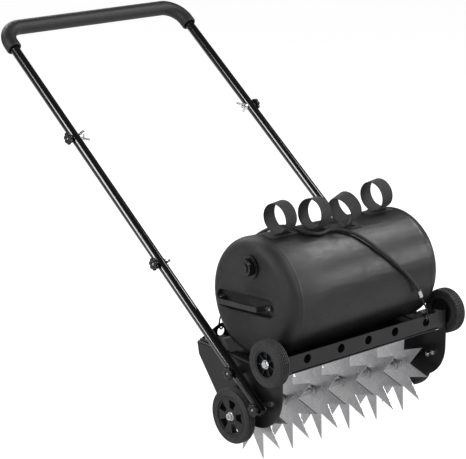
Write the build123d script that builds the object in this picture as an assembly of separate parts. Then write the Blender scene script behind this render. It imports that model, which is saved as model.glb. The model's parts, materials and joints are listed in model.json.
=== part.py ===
from build123d import *
import os
from math import cos, pi, radians, sin, sqrt

# Lawn spike roller with a ballast bag, four small wheels and a push handle.
# Millimetres, +X towards the bag's plain end, -Y towards the front bar, +Z up.
# The parts are drawn with Y zero at the spike shaft, and main() moves them so that
# the origin is on the ground under the middle of the whole roller.

# Spike roller
SPIKE_TIP_RADIUS = 136.5
SPIKE_ROOT_RADIUS = 67.5
SPIKE_POINTS = 10
SPIKE_THICKNESS = 3.0
DISC_COUNT = 6
DISC_SPACING = 106.5
SHAFT_RADIUS = 9.0
SHAFT_BORE = 6.0
SHAFT_HEIGHT = SPIKE_TIP_RADIUS * cos(radians(180 / SPIKE_POINTS))
SHAFT_END_X = 354.0
COLLAR_RADIUS = 16.0
COLLAR_LENGTH = 6.0
RUNNING_GAP = 0.05

# Side plates: outline points are (y, z)
SHEET = 3.0
PLATE_OUTER_X = 307.5
PLATE_INNER_X = PLATE_OUTER_X - SHEET
PLATE_TOP = 283.0
PLATE_FRONT_Y = -161.0
PLATE_REAR_TOP = (187.0, PLATE_TOP)
PLATE_REAR_KNEE = (179.0, 247.0)
PLATE_BOTTOM = 108.0
PLATE_REAR_FOOT = (66.0, PLATE_BOTTOM)
PLATE_CORNER_RADIUS = 108.0
PLATE_FLANGE = 35.0
PLATE_BEND_RADIUS = 5.0
BUSH_RADIUS = 14.0
BUSH_FLANGE_RADIUS = 17.0
PLATE_BOLT_AT = (-118.0, 190.0)

# Cross bars
BAR_HEIGHT = 46.0
BAR_LEDGE = 30.0
BAR_HALF_LENGTH = 292.0
BAR_TOP = PLATE_TOP + BAR_HEIGHT
FRONT_BAR_Y = -164.0
REAR_BAR_Y = PLATE_REAR_TOP[0] + SHEET
REAR_BAR_BOTTOM = PLATE_TOP - 15.0
REAR_BAR_TOP = PLATE_TOP + 31.0
REAR_BAR_END_TOP = PLATE_TOP + 1.0
REAR_BAR_HALF_LENGTH = 296.0
REAR_BAR_CHAMFER_X = 226.0
REAR_TAB_WIDTH = 26.0
BAR_HOLE_RADIUS = 12.5
BAR_HOLE_XS = (-222.0, -101.0, 0.0, 101.0, 222.0)
FRONT_HOLE_Z = PLATE_TOP + 26.5
REAR_HOLE_Z = PLATE_TOP + 8.0
BAR_BOLT_X = 283.0
FRONT_BAR_BOLT_Y = FRONT_BAR_Y + 19.0
REAR_BAR_BOLT_Y = REAR_BAR_Y - 19.0
TAB_OUTER_X = 301.0
DECK_HALF_LENGTH = 302.0

# Wheels
LOWER_WHEEL_RADIUS = 76.0
LOWER_WHEEL_INNER_X = 321.0
LOWER_WHEEL_OUTER_X = 350.0
LOWER_RIM_RADIUS = 56.0
HUB_WINDOWS = 5
FIRST_WINDOW_ANGLE = 28.0
WINDOW_HALF_ANGLE = 17.0
FRONT_WHEEL_RADIUS = 63.5
FRONT_WHEEL_INNER_X = 311.0
FRONT_WHEEL_OUTER_X = 346.0
FRONT_RIM_RADIUS = 38.0
FRONT_AXLE_Y = -135.0
FRONT_AXLE_Z = 314.0
FRONT_AXLE_RADIUS = 6.0

# Handle: the tubes lie in a plane that rises backwards from the side plates
TUBE_RADIUS = 14.0
TUBE_WALL = 1.5
TUBE_X = 330.0
HANDLE_ANGLE = 35.8
HANDLE_FOOT = (-112.9, 169.8)
PLATE_KNOB_DISTANCES = (17.0, 141.0)
JOINT_DISTANCES = (529.0, 1010.0)
HANDLE_LENGTH = 1458.0
BEND_RADIUS = 62.0
SWAGE_RADIUS = TUBE_RADIUS - TUBE_WALL - 0.1
SWAGE_WALL = 1.4
SWAGE_BELOW = 22.0
SWAGE_ABOVE = 28.0
SEAM_GAP = 0.6
GRIP_RADIUS = 23.0
GRIP_TAIL = 22.0
STUD_RADIUS = 4.0
KNOB_RADIUS = 18.5
KNOB_LOBES = 7
KNOB_LOBE_RADIUS = 4.5
KNOB_THICKNESS = 13.0

# Ballast bag
BAG_LEFT_X = -286.0
BAG_RIGHT_X = 283.0
BAG_LEFT_RADIUS = 165.6
BAG_RIGHT_RADIUS = 155.7
BAG_LEFT_EDGE = 35.5
BAG_RIGHT_EDGE = 28.0
BAG_HEIGHT = 441.8
BAG_Y = -1.6
BAG_CAP_RISE = 4.0
BAG_WALL = 4.0
BAG_FLOOR = PLATE_TOP + 0.6
FOOT_X = 284.0
FOOT_WIDTH = 26.0
VALVE_Y = -7.5
VALVE_Z = 536.0
VALVE_FLANGE_RADIUS = 32.0
VALVE_FLANGE_THICKNESS = 4.0
VALVE_NECK_RADIUS = 15.5
VALVE_NECK_LENGTH = 14.0
VALVE_CAP_RADIUS = 22.0
VALVE_CAP_LENGTH = 14.0
VALVE_RIBS = 14
GRAB_Y = 24.0
GRAB_Z = 426.0
GRAB_TILT = 5.0
GRAB_HALF_LENGTH = 102.0
GRAB_HEIGHT = 14.0
GRAB_STRAP = 4.0
GRAB_STANDOFF = 18.0
GRAB_FOOT = 20.0
GRAB_SCREW_RADIUS = 2.0
RECESS_Y = 15.0
RECESS_Z = 429.0
RECESS_HALF_LENGTH = 117.0
RECESS_HALF_HEIGHT = 25.0
RECESS_DEPTH = 14.0
LOOP_RADIUS = 42.0
LOOP_THICKNESS = 2.6
LOOP_WIDTH = 42.0
LOOP_XS = (-182.0, -76.0, 21.0, 188.0)
LOOP_SHIFTS = (-7.0, -26.0, -41.0, 8.0)
LOOP_YAWS = (5.0, 7.0, 5.0, 4.0)
LOOP_TILTS = (4.0, -3.0, 18.0, 5.0)
LOOP_GAP = 3.6
PATCH_WIDTH = 96.0
PATCH_LENGTH = 44.0
PATCH_THICKNESS = 1.8

# Stretch cord
CORD_RADIUS = 5.0
CORD_LIFT = 2.5
CORD_WAYPOINTS = (
    (-80, -190), (-65, -179), (-50, -165), (-33, -151), (-15, -138), (-3, -131), (6, -126), (14.5, -119),
    (19.5, -98), (20.5, -76), (18.5, -54), (20, -24), (29, 12), (40.5, 37), (52, 61), (61, 84), (70, 107),
    (79, 132), (88, 157),
)
HOOK_WIRE = 2.2
FERRULE_RADIUS = 6.5
FERRULE_LENGTH = 22.0


def x_rod(radius, x_start, x_end, y=0.0, z=0.0):
    """Solid cylinder along X between two x positions."""
    low, high = sorted((x_start, x_end))
    return Pos((low + high) / 2, y, z) * Rot(0, 90, 0) * Cylinder(radius, high - low)


def x_ring(outer, inner, x_start, x_end, y=0.0, z=0.0):
    """Round ring along X."""
    return x_rod(outer, x_start, x_end, y, z) - x_rod(inner, x_start, x_end, y, z)


def x_slab(face, x_start, x_end):
    """A YZ outline extruded between two x positions."""
    low, high = sorted((x_start, x_end))
    return Pos(low, 0, 0) * extrude(Plane.YZ * face, amount=high - low)


def x_prism(radius, sides, x_start, x_end, y, z):
    """Regular prism along X, such as a nut or a bolt head, measured over its corners."""
    low, high = sorted((x_start, x_end))
    outline = Plane.YZ * RegularPolygon(radius, sides)
    return Pos(low, y, z) * extrude(outline, amount=high - low)


def group(*shapes):
    """Several separate solids as one node."""
    solids = [solid for shape in shapes for solid in shape.solids()]
    return solids[0] if len(solids) == 1 else Compound(children=solids)


def handle_point(distance, lift=0.0):
    """(y, z) on the handle tube's centre line, at a distance from its lower end."""
    angle = radians(HANDLE_ANGLE)
    y = HANDLE_FOOT[0] + distance * cos(angle) - lift * sin(angle)
    z = HANDLE_FOOT[1] + distance * sin(angle) + lift * cos(angle)
    return y, z


def rounded_edge(solid, radius, axis, **place):
    """Fillets the edge that runs along an axis at the given coordinates, such as a sheet bend."""
    edges = solid.edges().filter_by(axis)
    for name, value in place.items():
        across = {"x": Axis.X, "y": Axis.Y, "z": Axis.Z}[name]
        edges = edges.filter_by_position(across, value - 0.1, value + 0.1)
    return fillet(edges, radius)


# ---------------------------------------------------------------- frame


def plate_outline():
    """Side plate face in (y, z), with its big lower front corner."""
    corner_y = PLATE_FRONT_Y + PLATE_CORNER_RADIUS
    corner_z = PLATE_BOTTOM + PLATE_CORNER_RADIUS
    diagonal = PLATE_CORNER_RADIUS * sqrt(0.5)
    corner = ThreePointArc(
        (PLATE_FRONT_Y, corner_z),
        (corner_y - diagonal, corner_z - diagonal),
        (corner_y, PLATE_BOTTOM),
    )
    rest = Polyline(
        (corner_y, PLATE_BOTTOM),
        PLATE_REAR_FOOT,
        PLATE_REAR_KNEE,
        PLATE_REAR_TOP,
        (PLATE_FRONT_Y, PLATE_TOP),
        (PLATE_FRONT_Y, corner_z),
    )
    return make_face([corner, *rest.edges()])


def side_plate(side):
    """Sheet plate with an inward top flange and its bolt, stud and shaft holes."""
    plate = x_slab(plate_outline(), PLATE_INNER_X, PLATE_OUTER_X)
    flange_length = PLATE_REAR_TOP[0] - PLATE_FRONT_Y
    flange = Box(PLATE_FLANGE, flange_length, SHEET)
    flange_x = PLATE_OUTER_X - PLATE_FLANGE / 2
    flange = Pos(flange_x, PLATE_FRONT_Y + flange_length / 2, PLATE_TOP - SHEET / 2) * flange
    plate = rounded_edge(plate + flange, PLATE_BEND_RADIUS, Axis.Y, x=PLATE_OUTER_X, z=PLATE_TOP)
    plate = rounded_edge(plate, PLATE_BEND_RADIUS - SHEET, Axis.Y, x=PLATE_INNER_X, z=PLATE_TOP - SHEET)
    plate -= x_rod(BUSH_RADIUS, PLATE_INNER_X - 1, PLATE_OUTER_X + 1, 0, SHAFT_HEIGHT)
    for distance in PLATE_KNOB_DISTANCES:
        hole_radius = STUD_RADIUS + RUNNING_GAP
        plate -= x_rod(hole_radius, PLATE_INNER_X - 1, PLATE_OUTER_X + 1, *handle_point(distance))
    plate -= x_rod(STUD_RADIUS, PLATE_INNER_X - 1, PLATE_OUTER_X + 1, *PLATE_BOLT_AT)
    for y in (FRONT_BAR_BOLT_Y, REAR_BAR_BOLT_Y):
        plate -= Pos(BAR_BOLT_X, y, PLATE_TOP) * Cylinder(STUD_RADIUS, 4 * SHEET)
    return plate if side > 0 else mirror(plate, about=Plane.YZ)


def bar_holes(y, z):
    """Cutting rods for the row of large holes in a cross bar."""
    rod = Rot(90, 0, 0) * Cylinder(BAR_HOLE_RADIUS, 4 * SHEET)
    return [Pos(x, y, z) * rod for x in BAR_HOLE_XS]


def bolt_holes(y):
    """Cutting rods for the two vertical bolts of a cross bar."""
    rod = Cylinder(STUD_RADIUS, 8 * SHEET)
    return [Pos(side * BAR_BOLT_X, y, PLATE_TOP + SHEET) * rod for side in (-1, 1)]


def front_bar():
    """Angle bar on the plates, with tabs bent back at its ends for the front wheels."""
    middle_z = PLATE_TOP + BAR_HEIGHT / 2
    face = Pos(0, FRONT_BAR_Y + SHEET / 2, middle_z) * Box(2 * TAB_OUTER_X, SHEET, BAR_HEIGHT)
    ledge = Pos(0, FRONT_BAR_Y + BAR_LEDGE / 2, PLATE_TOP + SHEET / 2) * Box(
        2 * BAR_HALF_LENGTH, BAR_LEDGE, SHEET
    )
    bar = rounded_edge(face + ledge, PLATE_BEND_RADIUS - 1, Axis.X, y=FRONT_BAR_Y, z=PLATE_TOP)
    tab_radius = BAR_HEIGHT / 2 - 2
    tab_face = Pos((FRONT_BAR_Y + FRONT_AXLE_Y) / 2, FRONT_AXLE_Z) * Rectangle(
        FRONT_AXLE_Y - FRONT_BAR_Y, 2 * tab_radius
    ) + Pos(FRONT_AXLE_Y, FRONT_AXLE_Z) * Circle(tab_radius)
    for side in (-1, 1):
        bar += x_slab(tab_face, side * (TAB_OUTER_X - SHEET), side * TAB_OUTER_X)
        bar -= x_rod(FRONT_AXLE_RADIUS, side * (TAB_OUTER_X - 2 * SHEET), side * (TAB_OUTER_X + 1),
                     FRONT_AXLE_Y, FRONT_AXLE_Z)
    for cutter in bar_holes(FRONT_BAR_Y, FRONT_HOLE_Z) + bolt_holes(FRONT_BAR_BOLT_Y):
        bar -= cutter
    return bar


def rear_bar():
    """Flat bar behind the plates with sloping top corners, and a welded tab at each end."""
    outline = Polyline(
        (-REAR_BAR_HALF_LENGTH, REAR_BAR_BOTTOM),
        (REAR_BAR_HALF_LENGTH, REAR_BAR_BOTTOM),
        (REAR_BAR_HALF_LENGTH, REAR_BAR_END_TOP),
        (REAR_BAR_CHAMFER_X, REAR_BAR_TOP),
        (-REAR_BAR_CHAMFER_X, REAR_BAR_TOP),
        (-REAR_BAR_HALF_LENGTH, REAR_BAR_END_TOP),
        close=True,
    )
    bar = Pos(0, REAR_BAR_Y, 0) * extrude(Plane.XZ * make_face(outline), amount=SHEET)
    tab_x = REAR_BAR_HALF_LENGTH - REAR_TAB_WIDTH / 2
    for side in (-1, 1):
        bar += Pos(side * tab_x, REAR_BAR_Y - SHEET - BAR_LEDGE / 2, PLATE_TOP + SHEET / 2) * Box(
            REAR_TAB_WIDTH, BAR_LEDGE, SHEET
        )
        corner = Box(REAR_TAB_WIDTH, SHEET, SHEET)
        bar += Pos(side * tab_x, REAR_BAR_Y - SHEET / 2, PLATE_TOP + SHEET / 2) * corner
    for cutter in bar_holes(REAR_BAR_Y, REAR_HOLE_Z) + bolt_holes(REAR_BAR_BOLT_Y):
        bar -= cutter
    return bar


def deck_plate():
    """Flat tray under the bag, held between the side plates' flanges and the bar nuts."""
    front = FRONT_BAR_Y + SHEET
    rear = REAR_BAR_Y - SHEET
    deck = Box(2 * DECK_HALF_LENGTH, rear - front, SHEET)
    deck = Pos(0, (front + rear) / 2, PLATE_TOP - 1.5 * SHEET) * deck
    for cutter in bolt_holes(FRONT_BAR_BOLT_Y) + bolt_holes(REAR_BAR_BOLT_Y):
        deck -= cutter
    return deck


def bar_fasteners():
    """Vertical bolts through each bar, plate flange and the deck, and their nuts."""
    bolts = []
    nuts = []
    head = extrude(RegularPolygon(7.4, 6), amount=5.3)
    nut = extrude(RegularPolygon(7.4, 6), amount=6.5)
    nut_top = PLATE_TOP - 2 * SHEET
    for side in (-1, 1):
        for y in (FRONT_BAR_BOLT_Y, REAR_BAR_BOLT_Y):
            shank_low = nut_top - 8
            place = Pos(side * BAR_BOLT_X, y, 0)
            shank = Pos(0, 0, (shank_low + PLATE_TOP + SHEET) / 2) * Cylinder(
                STUD_RADIUS, PLATE_TOP + SHEET - shank_low
            )
            bolts.append(place * (shank + Pos(0, 0, PLATE_TOP + SHEET) * head))
            bored = Pos(0, 0, nut_top - 6.5) * nut - shank
            nuts.append(place * bored)
    return bolts, nuts


def plate_bolts():
    """One short bolt through each side plate, head outside."""
    bolts = []
    for side in (-1, 1):
        shank = x_rod(STUD_RADIUS, side * (PLATE_INNER_X - 8), side * PLATE_OUTER_X, *PLATE_BOLT_AT)
        head = x_prism(7.4, 6, side * PLATE_OUTER_X, side * (PLATE_OUTER_X + 5.3), *PLATE_BOLT_AT)
        bolts.append(shank + head)
    return group(*bolts)


def plate_nuts():
    """Hex nuts inside the plates: one on each plate bolt and each handle stud."""
    nuts = []
    for side in (-1, 1):
        places = [PLATE_BOLT_AT] + [handle_point(distance) for distance in PLATE_KNOB_DISTANCES]
        for index, (y, z) in enumerate(places):
            bore = STUD_RADIUS if index == 0 else STUD_RADIUS + RUNNING_GAP
            nut = x_prism(7.4, 6, side * (PLATE_INNER_X - 6.5), side * PLATE_INNER_X, y, z)
            nuts.append(nut - x_rod(bore, side * (PLATE_INNER_X - 7), side * (PLATE_INNER_X + 1), y, z))
    return nuts


def shaft_bushes():
    """Flanged plastic bushes that carry the spike shaft in the side plates."""
    bushes = []
    for side in (-1, 1):
        body = x_rod(BUSH_RADIUS, side * (PLATE_INNER_X - 3), side * (PLATE_OUTER_X + 6), 0, SHAFT_HEIGHT)
        body += x_rod(BUSH_FLANGE_RADIUS, side * (PLATE_INNER_X - 3), side * PLATE_INNER_X, 0, SHAFT_HEIGHT)
        bore = x_rod(SHAFT_RADIUS + RUNNING_GAP, side * (PLATE_INNER_X - 4), side * (PLATE_OUTER_X + 7),
                     0, SHAFT_HEIGHT)
        bushes.append(body - bore)
    return group(*bushes)


# ---------------------------------------------------------------- spike roller


def spike_disc(index):
    """Ten-point star disc with one point straight forwards, so it stands on two points."""
    points = []
    for step in range(2 * SPIKE_POINTS):
        radius = SPIKE_TIP_RADIUS if step % 2 == 0 else SPIKE_ROOT_RADIUS
        angle = pi * step / SPIKE_POINTS
        points.append((radius * cos(angle), radius * sin(angle)))
    outline = make_face(Polyline(*points, close=True)) - Circle(SHAFT_RADIUS)
    x = (index - (DISC_COUNT - 1) / 2) * DISC_SPACING
    return Pos(0, 0, SHAFT_HEIGHT) * x_slab(outline, x - SPIKE_THICKNESS / 2, x + SPIKE_THICKNESS / 2)


def disc_collars():
    """Weld collars on both faces of every star disc."""
    collars = []
    for index in range(DISC_COUNT):
        x = (index - (DISC_COUNT - 1) / 2) * DISC_SPACING
        for side in (-1, 1):
            start = x + side * SPIKE_THICKNESS / 2
            end = start + side * COLLAR_LENGTH
            collars.append(x_ring(COLLAR_RADIUS, SHAFT_RADIUS, start, end, 0, SHAFT_HEIGHT))
    return group(*collars)


def retaining_rings():
    """Spring rings in grooves at the shaft's ends, outside the lower wheels."""
    rings = []
    for side in (-1, 1):
        start = side * (LOWER_WHEEL_OUTER_X - 5.6)
        rings.append(x_ring(SHAFT_RADIUS + 3.5, SHAFT_RADIUS, start, start + side * 2.0, 0, SHAFT_HEIGHT))
    return group(*rings)


# ---------------------------------------------------------------- wheels


def x_revolve(profile, y, z):
    """Revolves (x, radius) points about an X axis through (y, z)."""
    face = make_face(Polyline(*profile, close=True))
    return Pos(0, y, z) * revolve(face, Axis.X, 360)


def grooved_tyre(side, inner_x, outer_x, rim, radius, grooves, y, z):
    """Solid tyre with a crowned tread and round grooves."""
    shoulder = 4.0
    depth = 2.0
    width = outer_x - inner_x
    profile = [(inner_x, rim), (inner_x, radius - shoulder), (inner_x + shoulder, radius)]
    pitch = (width - 2 * shoulder) / (2 * grooves + 1)
    for groove in range(grooves):
        start = inner_x + shoulder + (2 * groove + 1) * pitch
        end = start + pitch
        profile += [(start, radius), (start, radius - depth), (end, radius - depth), (end, radius)]
    profile += [(outer_x - shoulder, radius), (outer_x, radius - shoulder), (outer_x, rim)]
    return x_revolve([(side * x, r) for x, r in profile], y, z)


def lower_wheel_hub(side):
    """Plastic wheel centre with a rim, a boss and five narrow windows between broad spokes."""
    inner, outer = LOWER_WHEEL_INNER_X, LOWER_WHEEL_OUTER_X
    y, z = 0, SHAFT_HEIGHT
    hub = x_ring(LOWER_RIM_RADIUS, LOWER_RIM_RADIUS - 6, side * inner, side * outer, y, z)
    hub += x_rod(LOWER_RIM_RADIUS - 4, side * (inner + 9), side * (outer - 3), y, z)
    hub += x_rod(19, side * inner, side * (outer - 6), y, z)
    half = radians(WINDOW_HALF_ANGLE)
    low, high = 23.0, LOWER_RIM_RADIUS - 9
    corners = [
        (low * cos(half), low * sin(half)),
        (high * cos(half), high * sin(half)),
        (high * cos(half), -high * sin(half)),
        (low * cos(half), -low * sin(half)),
    ]
    window = make_face(Polyline(*corners, close=True))
    for index in range(HUB_WINDOWS):
        turned = Rot(0, 0, FIRST_WINDOW_ANGLE + 360 / HUB_WINDOWS * index) * window
        hub -= Pos(0, y, z) * x_slab(turned, side * inner, side * outer)
    hub -= x_rod(SHAFT_RADIUS + 5, side * (outer - 6), side * outer, y, z)
    return hub - x_rod(SHAFT_RADIUS + RUNNING_GAP, side * (inner - 1), side * (outer + 1), y, z)


def front_wheel_hub(side):
    """Plastic wheel centre, dished outside, with thin radial ribs."""
    inner, outer = FRONT_WHEEL_INNER_X, FRONT_WHEEL_OUTER_X
    y, z = FRONT_AXLE_Y, FRONT_AXLE_Z
    hub = x_ring(FRONT_RIM_RADIUS, FRONT_RIM_RADIUS - 4, side * inner, side * (outer - 2), y, z)
    hub += x_rod(FRONT_RIM_RADIUS - 3, side * (inner + 6), side * (outer - 15), y, z)
    hub += x_rod(13, side * inner, side * (outer - 5), y, z)
    rib = Pos(side * (outer - 10.5), 0, (FRONT_RIM_RADIUS + 7) / 2) * Box(9, 2.4, FRONT_RIM_RADIUS - 11)
    for index in range(7):
        hub += Pos(0, y, z) * Rot(360 / 7 * index, 0, 0) * rib
    return hub - x_rod(FRONT_AXLE_RADIUS + RUNNING_GAP, side * (inner - 1), side * (outer + 1), y, z)


def front_axle_parts():
    """Axle bolts with broad heads, the spacer sleeves and the nuts inside the tabs."""
    bolts, spacers, nuts = [], [], []
    y, z = FRONT_AXLE_Y, FRONT_AXLE_Z
    for side in (-1, 1):
        face = side * (FRONT_WHEEL_OUTER_X - 5 + 0.3)
        end = side * (TAB_OUTER_X - SHEET - 9)
        bolt = x_rod(FRONT_AXLE_RADIUS, end, face, y, z)
        bolt += x_rod(12, face, face + side * 2, y, z)
        bolt += x_prism(9.5, 6, face + side * 2, face + side * 7, y, z)
        bolts.append(bolt)
        spacer_end = side * (FRONT_WHEEL_INNER_X - 0.3)
        spacers.append(x_ring(9, FRONT_AXLE_RADIUS, side * TAB_OUTER_X, spacer_end, y, z))
        nut = x_prism(10, 6, side * (TAB_OUTER_X - SHEET), side * (TAB_OUTER_X - SHEET - 7), y, z)
        nuts.append(nut - x_rod(FRONT_AXLE_RADIUS, side * 280, side * 310, y, z))
    return group(*bolts), group(*spacers), group(*nuts)


# ---------------------------------------------------------------- handle


def tube_between(radius, start, end, x):
    """Round bar along the handle direction, between two distances from its lower end."""
    y, z = handle_point(start)
    return Pos(x, y, z) * Rot(HANDLE_ANGLE - 90, 0, 0) * Cylinder(
        radius, end - start, align=(Align.CENTER, Align.CENTER, Align.MIN)
    )


def stud_hole(distance, x):
    return x_rod(STUD_RADIUS + RUNNING_GAP, x - 2 * TUBE_RADIUS, x + 2 * TUBE_RADIUS, *handle_point(distance))


def swaged_tube(start, end, side):
    """Straight tube whose upper end is drawn down to slide into the next tube."""
    x = side * TUBE_X
    seam = end - SWAGE_BELOW - SEAM_GAP
    tip = end + SWAGE_ABOVE
    tube = tube_between(TUBE_RADIUS, start, seam, x) + tube_between(SWAGE_RADIUS, seam - 1, tip, x)
    tube -= tube_between(TUBE_RADIUS - TUBE_WALL, start - 1, seam - 12, x)
    tube -= tube_between(SWAGE_RADIUS - SWAGE_WALL, seam - 12.5, tip + 1, x)
    return tube - stud_hole(end, x)


def lower_tube(side):
    tube = swaged_tube(0, JOINT_DISTANCES[0], side)
    for distance in PLATE_KNOB_DISTANCES:
        tube -= stud_hole(distance, side * TUBE_X)
    return tube


def middle_tube(side):
    start = JOINT_DISTANCES[0] - SWAGE_BELOW
    return swaged_tube(start, JOINT_DISTANCES[1], side) - stud_hole(JOINT_DISTANCES[0], side * TUBE_X)


def handle_plane():
    """Plane through the handle tubes: local x is X, local y runs up the handle."""
    angle = radians(HANDLE_ANGLE)
    return Plane(
        origin=(0, *HANDLE_FOOT), x_dir=(1, 0, 0), z_dir=(0, -sin(angle), cos(angle))
    )


def handle_bow(start):
    """Path of the top tube's centre line, up one side, across and down the other."""
    high = HANDLE_LENGTH
    bend = BEND_RADIUS
    with BuildLine(handle_plane()) as path:
        FilletPolyline((-TUBE_X, start), (-TUBE_X, high), (TUBE_X, high), (TUBE_X, start), radius=bend)
    return path.line


def swept_round(path, radius):
    section = Plane(origin=path @ 0, z_dir=path % 0) * Circle(radius)
    return sweep(section, path=path)


def top_tube():
    start = JOINT_DISTANCES[1] - SWAGE_BELOW
    tube = swept_round(handle_bow(start), TUBE_RADIUS)
    tube -= swept_round(handle_bow(start - 1), TUBE_RADIUS - TUBE_WALL)
    for side in (-1, 1):
        tube -= stud_hole(JOINT_DISTANCES[1], side * TUBE_X)
    return tube


def foam_grip():
    start = HANDLE_LENGTH - BEND_RADIUS - GRIP_TAIL
    grip = swept_round(handle_bow(start), GRIP_RADIUS)
    return grip - swept_round(handle_bow(start - 1), TUBE_RADIUS + 0.05)


def tube_plugs():
    """Plastic plugs pushed just inside the lower ends of the handle."""
    plugs = []
    for side in (-1, 1):
        x = side * TUBE_X
        plugs.append(tube_between(TUBE_RADIUS - TUBE_WALL, 1, 11, x))
    return group(*plugs)


def tube_saddles():
    """Spacers shaped to the tube, between the side plates and the lower tubes."""
    saddles = []
    for side in (-1, 1):
        for distance in PLATE_KNOB_DISTANCES:
            y, z = handle_point(distance)
            body = x_rod(11, side * PLATE_OUTER_X, side * (TUBE_X - TUBE_RADIUS + 4), y, z)
            body -= tube_between(TUBE_RADIUS + 0.02, distance - 20, distance + 20, side * TUBE_X)
            body -= stud_hole(distance, side * (TUBE_X - TUBE_RADIUS))
            saddles.append(body)
    return group(*saddles)


def star_knob(side, distance, length):
    """Lobed clamp knob with a moulded-in stud, head outside the tube."""
    y, z = handle_point(distance)
    face = TUBE_X + TUBE_RADIUS + 0.3
    knob = x_rod(8, side * face, side * (face + 4), y, z)
    knob += x_rod(KNOB_RADIUS - 3.5, side * (face + 4), side * (face + KNOB_THICKNESS), y, z)
    reach = KNOB_RADIUS - KNOB_LOBE_RADIUS
    for lobe in range(KNOB_LOBES):
        angle = 2 * pi * lobe / KNOB_LOBES
        knob += x_rod(
            KNOB_LOBE_RADIUS, side * (face + 4), side * (face + KNOB_THICKNESS),
            y + reach * cos(angle), z + reach * sin(angle),
        )
    knob -= x_rod(6, side * (face + KNOB_THICKNESS - 1.5), side * (face + KNOB_THICKNESS + 1), y, z)
    return knob + x_rod(STUD_RADIUS, side * (face + 1), side * (face - length), y, z)


def wing_nut(side, distance):
    """Two-winged nut on the inner end of a joint stud."""
    y, z = handle_point(distance)
    face = side * (TUBE_X - TUBE_RADIUS - 0.3)
    nut = x_rod(7.5, face, face - side * 8, y, z)
    for direction in (-1, 1):
        nut += wing_plate(side, y, z, direction)
    return nut - x_rod(STUD_RADIUS + RUNNING_GAP, face + side, face - side * 30, y, z)


def wing_plate(side, y, z, direction):
    """One thin wing that sweeps out and away from the tube."""
    base_x = side * (TUBE_X - TUBE_RADIUS - 2.0)
    away = -side
    outline = Polyline(
        (base_x, 5 * direction),
        (base_x + away * 8, 5 * direction),
        (base_x + away * 27, 15 * direction),
        (base_x + away * 24, 21 * direction),
        (base_x + away * 4, 12 * direction),
        close=True,
    )
    wing = extrude(make_face(outline), amount=1.25, both=True)
    return Pos(0, y, z) * Rot(HANDLE_ANGLE, 0, 0) * wing


# ---------------------------------------------------------------- ballast bag


def bag_radius(x):
    """Outer radius of the bag at a place between its rounded ends, where it tapers evenly."""
    start = BAG_LEFT_X + BAG_CAP_RISE + BAG_LEFT_EDGE
    end = BAG_RIGHT_X - BAG_CAP_RISE - BAG_RIGHT_EDGE
    along = (x - start) / (end - start)
    return BAG_LEFT_RADIUS + along * (BAG_RIGHT_RADIUS - BAG_LEFT_RADIUS)


def bag_profile(inset):
    """Half outline of the bag in (x, radius), drawn inset by a wall thickness."""
    left = BAG_LEFT_X + inset
    right = BAG_RIGHT_X - inset
    left_radius = BAG_LEFT_RADIUS - inset
    right_radius = BAG_RIGHT_RADIUS - inset
    left_edge = BAG_LEFT_EDGE - inset
    right_edge = BAG_RIGHT_EDGE - inset
    left_shoulder = left + BAG_CAP_RISE
    right_shoulder = right - BAG_CAP_RISE
    slope = (right_radius - left_radius) / (right - left)
    with BuildSketch(Plane.XY) as sketch:
        with BuildLine():
            Polyline((left, 0), (right, 0))
            Spline((right, 0), (right_shoulder, right_radius - right_edge), tangents=((0, 1), (-0.12, 1)))
            Spline((right_shoulder, right_radius - right_edge), (right_shoulder - right_edge, right_radius),
                   tangents=((-0.12, 1), (-1, -slope)))
            Line((right_shoulder - right_edge, right_radius), (left_shoulder + left_edge, left_radius))
            Spline((left_shoulder + left_edge, left_radius), (left_shoulder, left_radius - left_edge),
                   tangents=((-1, -slope), (-0.12, -1)))
            Spline((left_shoulder, left_radius - left_edge), (left, 0), tangents=((-0.12, -1), (0, -1)))
        make_face()
    return sketch.sketch


def bag_body(inset):
    """The bag's outer form, or its water space, flat where it rests."""
    body = Pos(0, BAG_Y, BAG_HEIGHT) * revolve(bag_profile(inset), Axis.X, 360)
    depth = 2 * BAG_LEFT_RADIUS
    return body - Pos(0, BAG_Y, BAG_FLOOR + inset - depth / 2) * Box(3 * BAG_RIGHT_X, depth, depth)


def recess_face(grow):
    """Rounded outline of the hand recess, in (y, z)."""
    slot = SlotOverall(2 * (RECESS_HALF_LENGTH + grow), 2 * (RECESS_HALF_HEIGHT + grow))
    return Pos(RECESS_Y, RECESS_Z) * Rot(0, 0, -GRAB_TILT) * slot


def ballast_bag():
    """Hollow water bag with a hand recess in its left end and a filler hole."""
    floor_x = BAG_LEFT_X + RECESS_DEPTH
    inner = bag_body(BAG_WALL) - x_slab(recess_face(BAG_WALL), BAG_LEFT_X, floor_x + BAG_WALL)
    bag = bag_body(0) - inner
    bag -= x_slab(recess_face(0), BAG_LEFT_X - 5, floor_x)
    return bag - x_rod(16, BAG_LEFT_X - 5, BAG_LEFT_X + 20, VALVE_Y, VALVE_Z)


def bag_feet():
    """Four chocks that follow the bag's curve and stand it on the plates' flanges."""
    feet = []
    for side in (-1, 1):
        outline = Polyline(
            (BAG_Y + side * 58, PLATE_TOP),
            (BAG_Y + side * 84, PLATE_TOP),
            (BAG_Y + side * 101, PLATE_TOP + 24),
            (BAG_Y + side * 97, PLATE_TOP + 30),
            (BAG_Y + side * 86, PLATE_TOP + 30),
            close=True,
        )
        for end in (-1, 1):
            block = x_slab(make_face(outline), end * FOOT_X - FOOT_WIDTH / 2, end * FOOT_X + FOOT_WIDTH / 2)
            feet.append(block - bag_body(-0.1))
    return group(*feet)


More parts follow.
